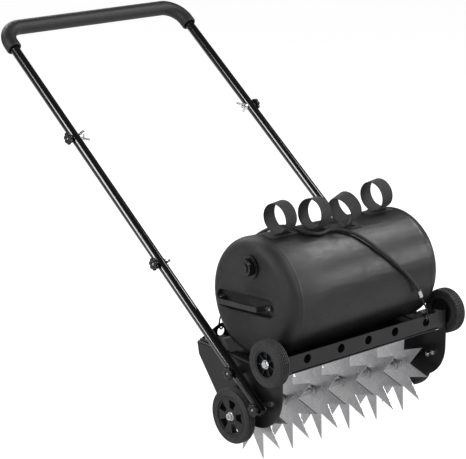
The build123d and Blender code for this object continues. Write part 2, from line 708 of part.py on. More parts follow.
def valve():
    """Filler neck with its broad flange, the sealing ring and the ribbed screw cap."""
    y, z = VALVE_Y, VALVE_Z
    flange_x = BAG_LEFT_X - 0.2
    neck = x_rod(VALVE_FLANGE_RADIUS, flange_x, flange_x - VALVE_FLANGE_THICKNESS, y, z)
    neck += x_rod(VALVE_NECK_RADIUS, flange_x + 10, flange_x - VALVE_NECK_LENGTH, y, z)
    neck -= x_rod(VALVE_NECK_RADIUS - 3, flange_x + 11, flange_x - VALVE_NECK_LENGTH - 1, y, z)
    seat_x = flange_x - VALVE_FLANGE_THICKNESS
    gasket = x_ring(VALVE_CAP_RADIUS - 1, VALVE_NECK_RADIUS + 0.2, seat_x, seat_x - 1.5, y, z)
    cap_x = seat_x - 1.8
    cap = x_rod(VALVE_CAP_RADIUS, cap_x, cap_x - VALVE_CAP_LENGTH, y, z)
    cap -= x_rod(VALVE_NECK_RADIUS + 0.2, cap_x + 1, cap_x - VALVE_CAP_LENGTH + 3.5, y, z)
    for rib in range(VALVE_RIBS):
        angle = 2 * pi * rib / VALVE_RIBS
        cap += x_rod(1.8, cap_x - 1, cap_x - VALVE_CAP_LENGTH, y + VALVE_CAP_RADIUS * cos(angle),
                     z + VALVE_CAP_RADIUS * sin(angle))
    cap += x_rod(VALVE_CAP_RADIUS - 9, cap_x - VALVE_CAP_LENGTH, cap_x - VALVE_CAP_LENGTH - 3, y, z)
    return neck, gasket, cap


def grab_place():
    """Where the strap handle's middle sits, turned with the recess."""
    return Pos(0, GRAB_Y, GRAB_Z) * Rot(-GRAB_TILT, 0, 0)


def grab_handle():
    """Flat strap handle that bows out of the hand recess."""
    floor_x = BAG_LEFT_X + RECESS_DEPTH - 0.1
    out_x = BAG_LEFT_X - GRAB_STANDOFF
    half = GRAB_HALF_LENGTH
    centre = Polyline(
        (floor_x - GRAB_STRAP / 2, -half),
        (floor_x - GRAB_STRAP / 2, -half + GRAB_FOOT),
        (out_x, -half + GRAB_FOOT + 4),
        (out_x, half - GRAB_FOOT - 4),
        (floor_x - GRAB_STRAP / 2, half - GRAB_FOOT),
        (floor_x - GRAB_STRAP / 2, half),
    )
    outline = offset(centre, amount=GRAB_STRAP / 2, side=Side.BOTH)
    handle = extrude(make_face(outline.edges()), amount=GRAB_HEIGHT / 2, both=True)
    for y in grab_screw_ys():
        handle -= x_rod(GRAB_SCREW_RADIUS, floor_x - 2 * GRAB_STRAP, floor_x + 1, y, 0)
    return grab_place() * handle


def grab_screw_ys():
    """Places of the screws along the strap, from its middle."""
    far = GRAB_HALF_LENGTH - 4
    near = GRAB_HALF_LENGTH - GRAB_FOOT + 6
    return [side * distance for side in (-1, 1) for distance in (near, far)]


def grab_screws():
    """Pan-head screws through the strap's feet, held in the bag's moulded wall."""
    screws = []
    floor_x = BAG_LEFT_X + RECESS_DEPTH
    head_x = floor_x - 0.1 - GRAB_STRAP
    for y in grab_screw_ys():
        screw = x_rod(GRAB_SCREW_RADIUS, head_x, floor_x - 0.05, y, 0)
        screws.append(grab_place() * (screw + x_rod(3.6, head_x - 2, head_x, y, 0)))
    return group(*screws)


def patch_band(x):
    """Ring of sheet round the bag at one loop, before it is cut to the patch's length."""
    start, end = x - PATCH_WIDTH / 2, x + PATCH_WIDTH / 2
    profile = [
        (start, bag_radius(start) + 0.2),
        (end, bag_radius(end) + 0.2),
        (end, bag_radius(end) + PATCH_THICKNESS),
        (start, bag_radius(start) + PATCH_THICKNESS),
    ]
    return x_revolve(profile, BAG_Y, BAG_HEIGHT)


def strap_loops():
    """Four closed strap rings standing on the bag, each on a sewn patch."""
    pieces = []
    ring = x_ring(LOOP_RADIUS, LOOP_RADIUS - LOOP_THICKNESS, -LOOP_WIDTH / 2, LOOP_WIDTH / 2)
    for x, shift, yaw, tilt in zip(LOOP_XS, LOOP_SHIFTS, LOOP_YAWS, LOOP_TILTS):
        surface = sqrt(bag_radius(x) ** 2 - shift**2)
        standing = LOOP_RADIUS * cos(radians(tilt)) + LOOP_WIDTH / 2 * sin(radians(abs(tilt)))
        place = Pos(x, BAG_Y + shift, BAG_HEIGHT + surface + LOOP_GAP + standing)
        pieces.append(place * Rot(0, 0, yaw) * Rot(0, -tilt, 0) * ring)
        patch_box = Pos(x, BAG_Y + shift, BAG_HEIGHT + surface) * Box(2 * PATCH_WIDTH, PATCH_LENGTH, 60)
        pieces.append(patch_band(x) & patch_box)
    return group(*pieces)


def cord_point(angle, x):
    """Point on the bag's surface line of the cord; the angle runs from the top to the front."""
    reach = bag_radius(x) + CORD_LIFT + CORD_RADIUS
    turn = radians(angle)
    return Vector(x, BAG_Y - reach * sin(turn), BAG_HEIGHT + reach * cos(turn))


def cord_ends():
    """Where the cord enters its rear and front ferrules."""
    return Vector(-204, 172, 414), Vector(183, -169, 412)


def stretch_cord():
    """Elastic cord over the bag from the rear bar to the front bar."""
    rear, front = cord_ends()
    pulls = (rear - hook_points(1)[0], hook_points(-1)[0] - front)
    waypoints = [cord_point(angle, x) for angle, x in CORD_WAYPOINTS]
    path = Spline(rear, *waypoints, front, tangents=[pull.normalized() for pull in pulls])
    section = Plane(origin=path @ 0, z_dir=path % 0) * Circle(CORD_RADIUS)
    return sweep(section, path=path, is_frenet=True)


def hook_points(side):
    """Start, bar crossing and tip of a hook's wire; side is -1 at the front bar."""
    bar_y, hole_z = (FRONT_BAR_Y, FRONT_HOLE_Z) if side < 0 else (REAR_BAR_Y, REAR_HOLE_Z)
    x = -side * BAR_HOLE_XS[-1]
    outside = bar_y + side * (HOOK_WIRE + 1.0)
    inside = bar_y - side * (SHEET + HOOK_WIRE + 4.0)
    crossing_z = hole_z + BAR_HOLE_RADIUS - HOOK_WIRE - 2.5
    return [
        Vector(x, outside + side * 1.5, crossing_z + 16),
        Vector(x, outside + side * 1.0, crossing_z + 4),
        Vector(x, bar_y - side * SHEET / 2, crossing_z - 2),
        Vector(x, inside, crossing_z + 5),
        Vector(x, inside - side * 3, crossing_z + 16),
    ]


def cord_hardware():
    """Crimped ferrules on the cord's ends and the wire hooks in the bars' end holes."""
    ferrules, hooks = [], []
    for start, side in zip(cord_ends(), (1, -1)):
        wire = hook_points(side)
        direction = (wire[0] - start).normalized()
        section = Plane(origin=start, z_dir=direction) * Circle(FERRULE_RADIUS)
        ferrule = extrude(section, amount=FERRULE_LENGTH)
        ferrules.append(ferrule)
        hook_start = start + direction * (FERRULE_LENGTH + 0.05)
        path = Spline(hook_start, *wire, tangents=[direction, Vector(0, 0, 1)])
        section = Plane(origin=path @ 0, z_dir=path % 0) * Circle(HOOK_WIRE)
        hooks.append(sweep(section, path=path, is_frenet=True))
    return group(*ferrules), group(*hooks)


# ---------------------------------------------------------------- write


def wheel_nodes():
    """Tyres and hubs of the four wheels."""
    nodes = {}
    for name, side in (("left", -1), ("right", 1)):
        nodes[f"{name}_lower_wheel_tyre"] = grooved_tyre(
            side, LOWER_WHEEL_INNER_X, LOWER_WHEEL_OUTER_X, LOWER_RIM_RADIUS, LOWER_WHEEL_RADIUS, 3,
            0, SHAFT_HEIGHT,
        )
        nodes[f"{name}_lower_wheel_hub"] = lower_wheel_hub(side)
        nodes[f"{name}_front_wheel_tyre"] = grooved_tyre(
            side, FRONT_WHEEL_INNER_X, FRONT_WHEEL_OUTER_X, FRONT_RIM_RADIUS, FRONT_WHEEL_RADIUS, 4,
            FRONT_AXLE_Y, FRONT_AXLE_Z
        )
        nodes[f"{name}_front_wheel_hub"] = front_wheel_hub(side)
    return nodes


def handle_nodes():
    """Tubes, grip, knobs and wing nuts."""
    nodes = {"top_tube": top_tube(), "foam_grip": foam_grip(), "tube_plugs": tube_plugs()}
    nodes["tube_saddles"] = tube_saddles()
    plate_stud = TUBE_X + TUBE_RADIUS - PLATE_INNER_X + 8
    joint_stud = 2 * TUBE_RADIUS + 20
    for name, side in (("left", -1), ("right", 1)):
        nodes[f"{name}_lower_tube"] = lower_tube(side)
        nodes[f"{name}_middle_tube"] = middle_tube(side)
        for place, distance in zip(("foot", "plate"), PLATE_KNOB_DISTANCES):
            nodes[f"{name}_{place}_knob"] = star_knob(side, distance, plate_stud)
        for place, distance in zip(("lower", "upper"), JOINT_DISTANCES):
            nodes[f"{name}_{place}_joint_knob"] = star_knob(side, distance, joint_stud)
            nodes[f"{name}_{place}_wing_nut"] = wing_nut(side, distance)
    return nodes


def frame_nodes():
    """Side plates, bars, fasteners and bushes."""
    bar_bolts, bar_nuts = bar_fasteners()
    axle_bolts, axle_spacers, axle_nuts = front_axle_parts()
    return {
        "left_side_plate": side_plate(-1),
        "right_side_plate": side_plate(1),
        "front_bar": front_bar(),
        "rear_bar": rear_bar(),
        "deck_plate": deck_plate(),
        "bar_bolts": group(*bar_bolts),
        "plate_bolts": plate_bolts(),
        "lock_nuts": group(*bar_nuts, *plate_nuts()),
        "shaft_bushes": shaft_bushes(),
        "front_axle_bolts": axle_bolts,
        "front_axle_spacers": axle_spacers,
        "front_axle_nuts": axle_nuts,
    }


def roller_nodes():
    """Shaft, star discs, collars and retaining rings."""
    nodes = {f"star_disc_{index + 1}": spike_disc(index) for index in range(DISC_COUNT)}
    nodes["spike_shaft"] = x_ring(SHAFT_RADIUS, SHAFT_BORE, -SHAFT_END_X, SHAFT_END_X, 0, SHAFT_HEIGHT)
    nodes["disc_collars"] = disc_collars()
    nodes["retaining_rings"] = retaining_rings()
    return nodes


def bag_nodes():
    """Ballast bag, its fittings and the cord that holds it down."""
    neck, gasket, cap = valve()
    ferrules, hooks = cord_hardware()
    return {
        "ballast_bag": ballast_bag(),
        "bag_feet": bag_feet(),
        "valve_neck": neck,
        "valve_gasket": gasket,
        "valve_cap": cap,
        "grab_handle": grab_handle(),
        "grab_screws": grab_screws(),
        "strap_loops": strap_loops(),
        "stretch_cord": stretch_cord(),
        "cord_ferrules": ferrules,
        "cord_hooks": hooks,
    }


def middle_y():
    """Y half way between the front wheels' tread and the back of the grip."""
    front = FRONT_AXLE_Y - FRONT_WHEEL_RADIUS
    back = handle_point(HANDLE_LENGTH)[0] + GRIP_RADIUS
    return (front + back) / 2


def main():
    os.makedirs("parts", exist_ok=True)
    nodes = {**frame_nodes(), **roller_nodes(), **wheel_nodes(), **handle_nodes(), **bag_nodes()}
    centred = Pos(0, -middle_y(), 0)
    for name, shape in nodes.items():
        export_step(centred * shape, f"parts/{name}.step")


main()
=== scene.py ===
import json
import math

import bmesh
import bpy
from mathutils import Matrix, Vector, noise


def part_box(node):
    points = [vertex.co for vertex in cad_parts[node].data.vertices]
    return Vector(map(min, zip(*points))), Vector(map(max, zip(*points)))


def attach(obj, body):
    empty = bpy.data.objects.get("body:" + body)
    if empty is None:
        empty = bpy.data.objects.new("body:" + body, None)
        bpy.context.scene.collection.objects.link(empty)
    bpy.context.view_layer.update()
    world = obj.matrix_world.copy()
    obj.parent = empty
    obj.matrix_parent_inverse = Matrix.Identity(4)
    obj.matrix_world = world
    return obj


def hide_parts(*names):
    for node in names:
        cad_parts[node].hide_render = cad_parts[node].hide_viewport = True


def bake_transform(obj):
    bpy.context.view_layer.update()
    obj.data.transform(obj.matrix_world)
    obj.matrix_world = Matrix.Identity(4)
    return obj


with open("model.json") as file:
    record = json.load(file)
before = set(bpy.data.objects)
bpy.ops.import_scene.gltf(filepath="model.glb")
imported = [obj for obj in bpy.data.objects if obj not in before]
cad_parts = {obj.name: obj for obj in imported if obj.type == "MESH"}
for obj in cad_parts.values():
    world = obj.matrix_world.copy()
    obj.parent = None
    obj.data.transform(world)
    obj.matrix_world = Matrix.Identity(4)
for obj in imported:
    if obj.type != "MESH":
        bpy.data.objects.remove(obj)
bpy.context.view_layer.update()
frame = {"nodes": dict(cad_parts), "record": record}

# A push lawn roller: spiked discs, side plates, a ballast bag and a long handle.
# Metres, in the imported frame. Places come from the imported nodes' boxes.

# Camera
CAMERA_PLACE = (-3.216, -3.841, 1.947)
CAMERA_AZIMUTH = -40.3
CAMERA_ELEVATION = 16.3
CAMERA_LENS = 138.8
CAMERA_SENSOR = 36
CAMERA_SIGHT = 50

# Ballast bag: a left and a right cap with rounded edges, and a tapered body between them
BAG_TAPER = 0.0099
BAG_LEFT_EDGE = 0.0355
BAG_RIGHT_EDGE = 0.028
BAG_CAP_RISE = 0.004
LEFT_CAP_DEPTH = 0.02
REST_SOFTNESS = 0.0012

# The bag skin's rows and turns
BAG_TURNS = 384
CAP_CENTRE_RADIUS = 0.002
LEFT_CAP_CENTRE_STEP = 0.003
LEFT_CAP_CENTRE_END = 0.02
LEFT_CAP_STEP = 0.0012
RIGHT_CAP_START = 0.003
RIGHT_CAP_STEP = 0.004
LEFT_EDGE_ROWS = 43
RIGHT_EDGE_ROWS = 29
BODY_ROWS = 210
BODY_CROWDING = 1.15
SKIN_METRES_PER_RADIAN = 0.16

# The bag's seam tapes, the line round its left cap and its unevenness
SEAM_FROM_EDGE = 0.004
SEAM_HEIGHT = 0.0008
SEAM_HALF_WIDTH = 0.0045
SEAM_SLOPE = 0.0018
STITCH_GROOVE_DEPTH = 0.0005
STITCH_GROOVE_WIDTH = 0.0009
CAP_LINE_RADIUS = 0.1335
CAP_LINE_DEPTH = 0.0006
CAP_LINE_WIDTH = 0.0011
WRINKLE = 0.0006
WRINKLES_ALONG = 9
WRINKLES_ROUND = 2.2
PUCKER = 0.00025
PUCKERS_ROUND = 16
PUCKERS_ALONG = 14
PUCKER_LAYER = 3.1
PUCKER_MIN_RADIUS = 0.12

# Hand recess in the bag's left cap
RECESS_Y_FROM_AXIS = 0.0166
RECESS_Z_FROM_AXIS = -0.0128
RECESS_TILT = 5.0
RECESS_HALF_LENGTH = 0.117
RECESS_HALF_HEIGHT = 0.025
RECESS_CORNER = 0.0245
RECESS_DEPTH = 0.0138
RECESS_WALL = 0.0035
RECESS_LIP = 0.0007
RECESS_LIP_FROM_WALL = 0.002
RECESS_LIP_WIDTH = 0.0022

# Strap loops: places along the bag, shifts rearwards from its axis, and turns in degrees
LOOP_XS = (-0.182, -0.076, 0.021, 0.188)
LOOP_SHIFTS = (-0.007, -0.026, -0.041, 0.008)
LOOP_YAWS = (5.0, 7.0, 5.0, 4.0)
LOOP_TILTS = (4.0, -3.0, 18.0, 5.0)
LOOP_RADIUS = 0.042
LOOP_WIDTH = 0.042
LOOP_GAP = 0.0036
LOOP_START = -112.0
LOOP_SWEEP = 412.0
LOOP_TURNS = 168
LOOP_COLUMNS = 84
LOOP_INSET = 0.0014
LOOP_SWAY = 0.0005
LOOP_END_THINNESS = 0.35
LOOP_END_SLOPE = 40
LAP_START = 0.06
LAP_SPAN = 0.88
SELVEDGE_THINNING = 0.35
SELVEDGE_START = 0.46
SELVEDGE_SPAN = 0.04
PLY = 0.0012
PLY_GAP = 0.0002
RIB_PITCH = 0.0026
RIB_HEIGHT = 0.00030
# The rib colour bands are painted shade in each rib's hollow and painted highlight on its crest.
RIB_SHADE_WAVE = 0.1 * math.pi / RIB_PITCH  # a wave texture of this scale has one band for each rib

# Sewn patches under the loops, the keeper tabs over them, and the threads
PAD_GAP = 0.0002
PAD_SCALES = (0.02, 0.2, 0.4, 0.55, 0.7, 0.82, 0.9, 0.95, 0.98, 1.0)
OUTLINE_STEP = 0.0025
OUTLINE_CORNER_STEPS = 8
PATCH_LENGTH = 0.096
PATCH_WIDTH = 0.044
PATCH_CORNER = 0.007
PATCH_THICKNESS = 0.0016
TAB_LENGTH = 0.074
TAB_WIDTH = 0.024
TAB_CORNER = 0.011
TAB_GAP = 0.0003
TAB_CLEARANCE = 0.0006
TAB_SEAT = 0.0004
TAB_RAISED_HALF = 0.019
TAB_SLOPE = 0.012
THREAD_INSET = 0.003
THREAD_CORNER = 0.005
THREAD_LENGTH = 0.0032
THREAD_RADIUS = 0.00042
THREAD_ARCH = 0.0004
THREAD_TIP = 0.45
THREAD_SPACING = 1.45
THREAD_RINGS = (-0.5, -0.3, 0.0, 0.3, 0.5)
THREAD_SIDES = 6

# Stretch cord: (degrees forward of the bag's top, x), and its ends from the shaft's plane
CORD_WAYPOINTS = (
    (-80, -0.190), (-65, -0.179), (-50, -0.165), (-33, -0.151), (-15, -0.138), (-3, -0.131),
    (6, -0.126), (14.5, -0.119), (19.5, -0.098), (20.5, -0.076), (18.5, -0.054), (20, -0.024),
    (29, 0.012), (40.5, 0.037), (52, 0.061), (61, 0.084), (70, 0.107), (79, 0.132), (88, 0.157),
)
CORD_REAR_END = (-0.204, 0.172, 0.414)
CORD_FRONT_END = (0.183, -0.169, 0.412)
CORD_RADIUS = 0.005
CORD_LIFT = 0.0025
CORD_STEP = 0.0006
CORD_SIDES = 36
BRAID_PITCH = 0.011
BRAID_STRANDS = 4
BRAID_LEVEL = 0.94
BRAID_RELIEF = 0.08

# Tyres
LOWER_TYRE = {"rim": 0.056, "grooves": 3, "cuts": 0, "turns": 144}
FRONT_TYRE = {"rim": 0.038, "grooves": 4, "cuts": 44, "turns": 528}
TYRE_SHOULDER = 0.004
TREAD_CROWN = 0.001
TREAD_GROOVE_DEPTH = 0.0022
TREAD_GROOVE_EDGE = 0.0002
TREAD_RIB_EDGE = 0.0003
TREAD_RIB_TOP = 0.0009
TREAD_RIB_CHAMFER = 0.0004
TREAD_CUT_DEPTH = 0.0011
TREAD_CUT_LIMIT = 0.45

# Clamp knobs and their studs
KNOB_PLACES = ("foot_knob", "plate_knob", "lower_joint_knob", "upper_joint_knob")
KNOB_REACH = 0.0185
KNOB_DEPTH = 0.013
KNOB_SINK = 0.0119
KNOB_BACK = 0.004
KNOB_BORE = 0.0045
KNOB_LOBES = 7
KNOB_LOBE_HEIGHT = 0.0023
KNOB_LOBE_POWER = 0.8
KNOB_TURNS = 168
STUD_RADIUS = 0.004
STUD_PITCH = 0.00125
STUD_GROOVE = 0.0003
STUD_CHAMFER = 0.0012
STUD_TIP = 0.0009
STUD_CORE = 0.0005
STUD_TURNS = 24

# Handle
HANDLE_ANGLE = 35.8
GRIP_RADIUS = 0.023
GRIP_BEND = 0.062
GRIP_TAIL = 0.022
GRIP_BEND_STEPS = 32
GRIP_ROWS = 360
GRIP_SIDES = 64
GRIP_MOUTH = 0.006
GRIP_SKIN = 0.0002
GRIP_UNEVENNESS = 0.004
TUBE_RADIUS = 0.014

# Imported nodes: the edges' (bevel width, segments) by slot, and nodes whose look isn't their slot's
BEVELS = {
    "plate_paint": (0.0006, 2),
    "zinc": (0.0005, 2),
    "wing_zinc": (0.0005, 2),
    "galvanised": (0.0004, 2),
    "wheel_plastic": (0.0008, 2),
    "bush_plastic": (0.0006, 2),
    "valve_plastic": (0.0006, 2),
    "strap_plastic": (0.0012, 3),
    "foot_rubber": (0.0030, 3),
}
BEVEL_FROM_ANGLE = 40
WELD_DISTANCE = 0.00002
# The spike shaft and disc collars take a whitened zinc, a painted highlight along the shaft.
OWN_FINISH = {"spike_shaft": "shaft_zinc_whitened_as_highlight", "disc_collars": "shaft_zinc_whitened_as_highlight"}

# Studio: (name, place, target, size, power) of each lamp
LAMPS = (
    ("tube_light", (-3.4, 1.0, 2.2), (-0.3, 0.1, 0.5), (0.7, 2.6), 75),
    ("barrel_light", (1.5, -1.05, 2.7), (-0.1, -0.45, 0.44), (1.7, 0.8), 50),
    ("cap_light", (-3.0, -2.2, 1.6), (-0.28, -0.45, 0.44), (1.2, 1.2), 38),
    ("star_light", (1.6, -2.1, 1.2), (0, -0.5, 0.15), (2.2, 0.3), 26),
    ("rear_light", (0.6, 3.2, 2.4), (0, 0.2, 0.5), (2.4, 1.2), 55),
)
FLOOR_REACH = 9
FLOOR_HEIGHT = -0.0005
FLOOR_GLOW = 0.95
FLOOR_REFLECTION = 0.35
SURROUND = 0.07
WHITE = (1, 1, 1, 1)

COAT_ROUGHNESS = 0.08
TAU = 2 * math.pi


# ---- meshes


def new_object(name, mesh, material, smooth=True):
    """Links a mesh as an object and shades it."""
    obj = bpy.data.objects.new(name, mesh)
    bpy.context.scene.collection.objects.link(obj)
    mesh.materials.append(material)
    for polygon in mesh.polygons:
        polygon.use_smooth = smooth
    return obj


def mesh_from(name, points, faces, uvs=None):
    """Mesh from points and faces, with an optional (u, v) for each point."""
    mesh = bpy.data.meshes.new(name)
    mesh.from_pydata([tuple(point) for point in points], [], faces)
    if uvs:
        layer = mesh.uv_layers.new(name="surface")
        for loop in mesh.loops:
            layer.data[loop.index].uv = uvs[loop.vertex_index]
    mesh.validate()
    return mesh


def tidy_normals(mesh):
    """Merges doubled points and turns all faces outwards."""
    work = bmesh.new()
    work.from_mesh(mesh)
    bmesh.ops.remove_doubles(work, verts=work.verts, dist=1e-6)
    bmesh.ops.recalc_face_normals(work, faces=work.faces)
    work.to_mesh(mesh)
    work.free()


def sharp_by_angle(obj, degrees):
    """Smooth shading with hard edges where faces meet sharply."""
    work = bmesh.new()
    work.from_mesh(obj.data)
    limit = math.radians(degrees)
    for edge in work.edges:
        if len(edge.link_faces) == 2:
            edge.smooth = edge.calc_face_angle(0) < limit
    work.to_mesh(obj.data)
    work.free()
    return obj


def grid_faces(rows, columns, first=0, close_rows=False):
    """Quads between rows of points; the columns always close into rings."""
    faces = []
    for row in range(rows if close_rows else rows - 1):
        following = (row + 1) % rows
        for column in range(columns):
            after = (column + 1) % columns
            faces.append((first + row * columns + column, first + row * columns + after,
                          first + following * columns + after, first + following * columns + column))
    return faces


def closed_faces(rows, columns, first=0):
    """Quads between rings of points, and a flat face over each end."""
    last = first + (rows - 1) * columns
    return [*grid_faces(rows, columns, first),
            tuple(range(first + columns - 1, first - 1, -1)),
            tuple(range(last, last + columns))]


def lathe(name, profile, place, side, turns, material, wave=None, hard=40):
    """Closed (x, radius[, share]) outline turned about an X axis through place.

    wave(angle) is added to the radius, times the point's share. Side -1 mirrors it."""
    points = []
    count = len(profile)
    for turn in range(turns):
        angle = TAU * turn / turns
        for point in profile:
            radius = point[1]
            if wave and len(point) > 2:
                radius += point[2] * wave(angle)
            points.append((side * point[0], place[0] + radius * math.cos(angle),
                           place[1] + radius * math.sin(angle)))
    mesh = mesh_from(name, points, grid_faces(turns, count, close_rows=True))
    tidy_normals(mesh)
    return sharp_by_angle(new_object(name, mesh, material), hard)


def smooth_curve(points, step):
    """Points along a smooth curve through the given points, about step apart."""
    first = points[1] - points[0]
    last = points[-1] - points[-2]
    padded = [points[0] - first, *points, points[-1] + last]
    curve = []
    for index in range(1, len(padded) - 2):
        before, here, after, later = padded[index - 1:index + 3]
        gap = (after - here).length
        leave = ((here - before) / (here - before).length + (after - here) / gap) / 2 * gap
        arrive = ((after - here) / gap + (later - after) / (later - after).length) / 2 * gap
        pieces = max(1, round(gap / step))
        for piece in range(pieces):
            t = piece / pieces
            curve.append(here * (2 * t**3 - 3 * t**2 + 1) + leave * (t**3 - 2 * t**2 + t)
                         + after * (3 * t**2 - 2 * t**3) + arrive * (t**3 - t**2))
    curve.append(points[-1])
    return curve


def frames_along(path):
    """(distance, point, tangent, normal) for each point of a path, with no twist."""
    frames = []
    normal = None
    distance = 0.0
    for index, here in enumerate(path):
        tangent = (path[min(index + 1, len(path) - 1)] - path[max(index - 1, 0)]).normalized()
        if normal is None:
            normal = tangent.orthogonal().normalized()
        normal = (normal - tangent * normal.dot(tangent)).normalized()
        if index:
            distance += (here - path[index - 1]).length
        frames.append((distance, here, tangent, normal))
    return frames


def frame_at(frames, distance):
    """Interpolated (point, tangent, normal) at a distance along the path."""
    distance = min(max(distance, frames[0][0]), frames[-1][0])
    low, high = 0, len(frames) - 1
    while high - low > 1:
        middle = (low + high) // 2
        low, high = (middle, high) if frames[middle][0] <= distance else (low, middle)
    start, end = frames[low], frames[high]
    t = (distance - start[0]) / max(end[0] - start[0], 1e-9)
    return tuple(start[i].lerp(end[i], t) for i in (1, 2, 3))


def swept(name, frames, rows, turns, material, shape, hard=None):
    """Tube whose rows are (distance, radius) along a path; shape(angle, distance) scales the radius."""
    points, uvs = [], []
    for distance, radius in rows:
        here, tangent, normal = frame_at(frames, distance)
        side = tangent.cross(normal)
        for turn in range(turns):
            angle = TAU * turn / turns
            reach = radius * shape(angle, distance)
            points.append(here + (normal * math.cos(angle) + side * math.sin(angle)) * reach)
            uvs.append((angle, distance))
    mesh = mesh_from(name, points, closed_faces(len(rows), turns), uvs)
    tidy_normals(mesh)
    obj = new_object(name, mesh, material)
    return sharp_by_angle(obj, hard) if hard else obj


def ease(t):
    """Smooth step from 0 to 1."""
    t = min(max(t, 0.0), 1.0)
    return t * t * (3 - 2 * t)


def rounded_box_distance(u, v, half_length, half_height, corner):
    """Signed distance to a rounded rectangle's outline, negative inside."""
    du = abs(u) - half_length + corner
    dv = abs(v) - half_height + corner
    return math.hypot(max(du, 0), max(dv, 0)) + min(max(du, dv), 0) - corner


def rounded_outline(half_length, half_width, corner):
    """Counter-clockwise points of a rounded rectangle, no further apart than about OUTLINE_STEP."""
    points = []
    corners = ((1, 1, 0), (-1, 1, 90), (-1, -1, 180), (1, -1, 270))
    for sign_u, sign_v, start in corners:
        for step in range(OUTLINE_CORNER_STEPS + 1):
            angle = math.radians(start + 90 * step / OUTLINE_CORNER_STEPS)
            points.append(Vector((sign_u * (half_length - corner) + corner * math.cos(angle),
                                  sign_v * (half_width - corner) + corner * math.sin(angle))))
    dense = []
    for index, point in enumerate(points):
        following = points[(index + 1) % len(points)]
        pieces = max(1, round((following - point).length / OUTLINE_STEP))
        dense += [point.lerp(following, piece / pieces) for piece in range(pieces)]
    return dense


# ---- materials


class Shader:
    """A principled material and short ways to add procedural detail to it."""

    def __init__(self, name, color, roughness, metallic=0.0, coat=0.0, sheen=0.0):
        self.material = bpy.data.materials.new(name)
        self.material.use_nodes = True
        self.tree = self.material.node_tree
        self.surface = self.tree.nodes["Principled BSDF"]
        self.base = (*color, 1)
        self.surface.inputs["Base Color"].default_value = self.base
        self.surface.inputs["Roughness"].default_value = roughness
        self.surface.inputs["Metallic"].default_value = metallic
        self.surface.inputs["Coat Weight"].default_value = coat
        self.surface.inputs["Coat Roughness"].default_value = COAT_ROUGHNESS
        self.surface.inputs["Sheen Weight"].default_value = sheen
        self.places = self.tree.nodes.new("ShaderNodeTexCoord")
        self.bumped = None

    def link(self, output, target):
        """Joins an output to an input."""
        self.tree.links.new(output, target)

    def coords(self, source, scale):
        """Coordinates stretched along each axis."""
        mapping = self.tree.nodes.new("ShaderNodeMapping")
        mapping.inputs["Scale"].default_value = scale
        self.link(self.places.outputs[source], mapping.inputs["Vector"])
        return mapping.outputs["Vector"]

    def noise(self, scale, detail=3.0, source="Object", stretch=(1, 1, 1)):
        """Cloudy value; scale is in features per metre."""
        node = self.tree.nodes.new("ShaderNodeTexNoise")
        node.inputs["Scale"].default_value = scale
        node.inputs["Detail"].default_value = detail
        self.link(self.coords(source, stretch), node.inputs["Vector"])
        return node.outputs["Fac"]

    def cells(self, scale, output="Distance"):
        """Cell pattern, such as foam pores or zinc spangle."""
        node = self.tree.nodes.new("ShaderNodeTexVoronoi")
        node.inputs["Scale"].default_value = scale
        self.link(self.coords("Object", (1, 1, 1)), node.inputs["Vector"])
        return node.outputs[output]

    def wave(self, scale, direction, source="Object", stretch=(1, 1, 1)):
        """Parallel ridges across one axis."""
        node = self.tree.nodes.new("ShaderNodeTexWave")
        node.bands_direction = direction
        node.inputs["Scale"].default_value = scale
        self.link(self.coords(source, stretch), node.inputs["Vector"])
        return node.outputs["Fac"]

    def along(self):
        """First surface coordinate: the distance along the bag, or across a strap."""
        node = self.tree.nodes.new("ShaderNodeSeparateXYZ")
        self.link(self.places.outputs["UV"], node.inputs["Vector"])
        return node.outputs["X"]

    def math(self, operation, a, b=0.0):
        """Arithmetic on numbers or patterns."""
        node = self.tree.nodes.new("ShaderNodeMath")
        node.operation = operation
        for socket, value in zip(node.inputs, (a, b)):
            if isinstance(value, (int, float)):
                socket.default_value = value
            else:
                self.link(value, socket)
        return node.outputs[0]

    def spread(self, value, low, high, start=0.3, end=0.7):
        """Maps a 0..1 pattern's middle range onto low..high."""
        node = self.tree.nodes.new("ShaderNodeMapRange")
        node.inputs["From Min"].default_value = start
        node.inputs["From Max"].default_value = end
        node.inputs["To Min"].default_value = low
        node.inputs["To Max"].default_value = high
        self.link(value, node.inputs["Value"])
        return node.outputs["Result"]

    def vary_color(self, value, low, high):
        """Multiplies the colour by low..high over the pattern's middle range."""
        node = self.tree.nodes.new("ShaderNodeMix")
        node.data_type = "RGBA"
        node.blend_type = "MULTIPLY"
        node.inputs["Factor"].default_value = 1.0
        source = self.surface.inputs["Base Color"]
        if source.is_linked:
            self.link(source.links[0].from_socket, node.inputs["A"])
        else:
            node.inputs["A"].default_value = self.base
        grey = self.tree.nodes.new("ShaderNodeCombineColor")
        level = self.spread(value, low, high)
        for channel in ("Red", "Green", "Blue"):
            self.link(level, grey.inputs[channel])
        self.link(grey.outputs["Color"], node.inputs["B"])
        self.link(node.outputs["Result"], source)

    def vary_roughness(self, value, low, high):
        """Roughness from low to high over the pattern's middle range."""
        self.link(self.spread(value, low, high), self.surface.inputs["Roughness"])

    def bump(self, value, depth, strength):
        """Adds a relief of the given depth in metres."""
        node = self.tree.nodes.new("ShaderNodeBump")
        node.inputs["Distance"].default_value = depth
        node.inputs["Strength"].default_value = strength
        self.link(value, node.inputs["Height"])
        if self.bumped:
            self.link(self.bumped, node.inputs["Normal"])
        self.bumped = node.outputs["Normal"]
        self.link(self.bumped, self.surface.inputs["Normal"])


def plate_paint():
    """Satin black powder coat with orange peel and a few rubbed places."""
    shader = Shader("plate_paint", (0.006, 0.006, 0.0062), 0.36)
    shader.vary_roughness(shader.noise(26, 5), 0.30, 0.46)
    shader.vary_color(shader.noise(9, 4), 0.8, 1.35)
    shader.bump(shader.noise(900, 2), 0.00004, 0.6)
    shader.bump(shader.noise(160, 3), 0.00012, 0.35)
    return shader.material


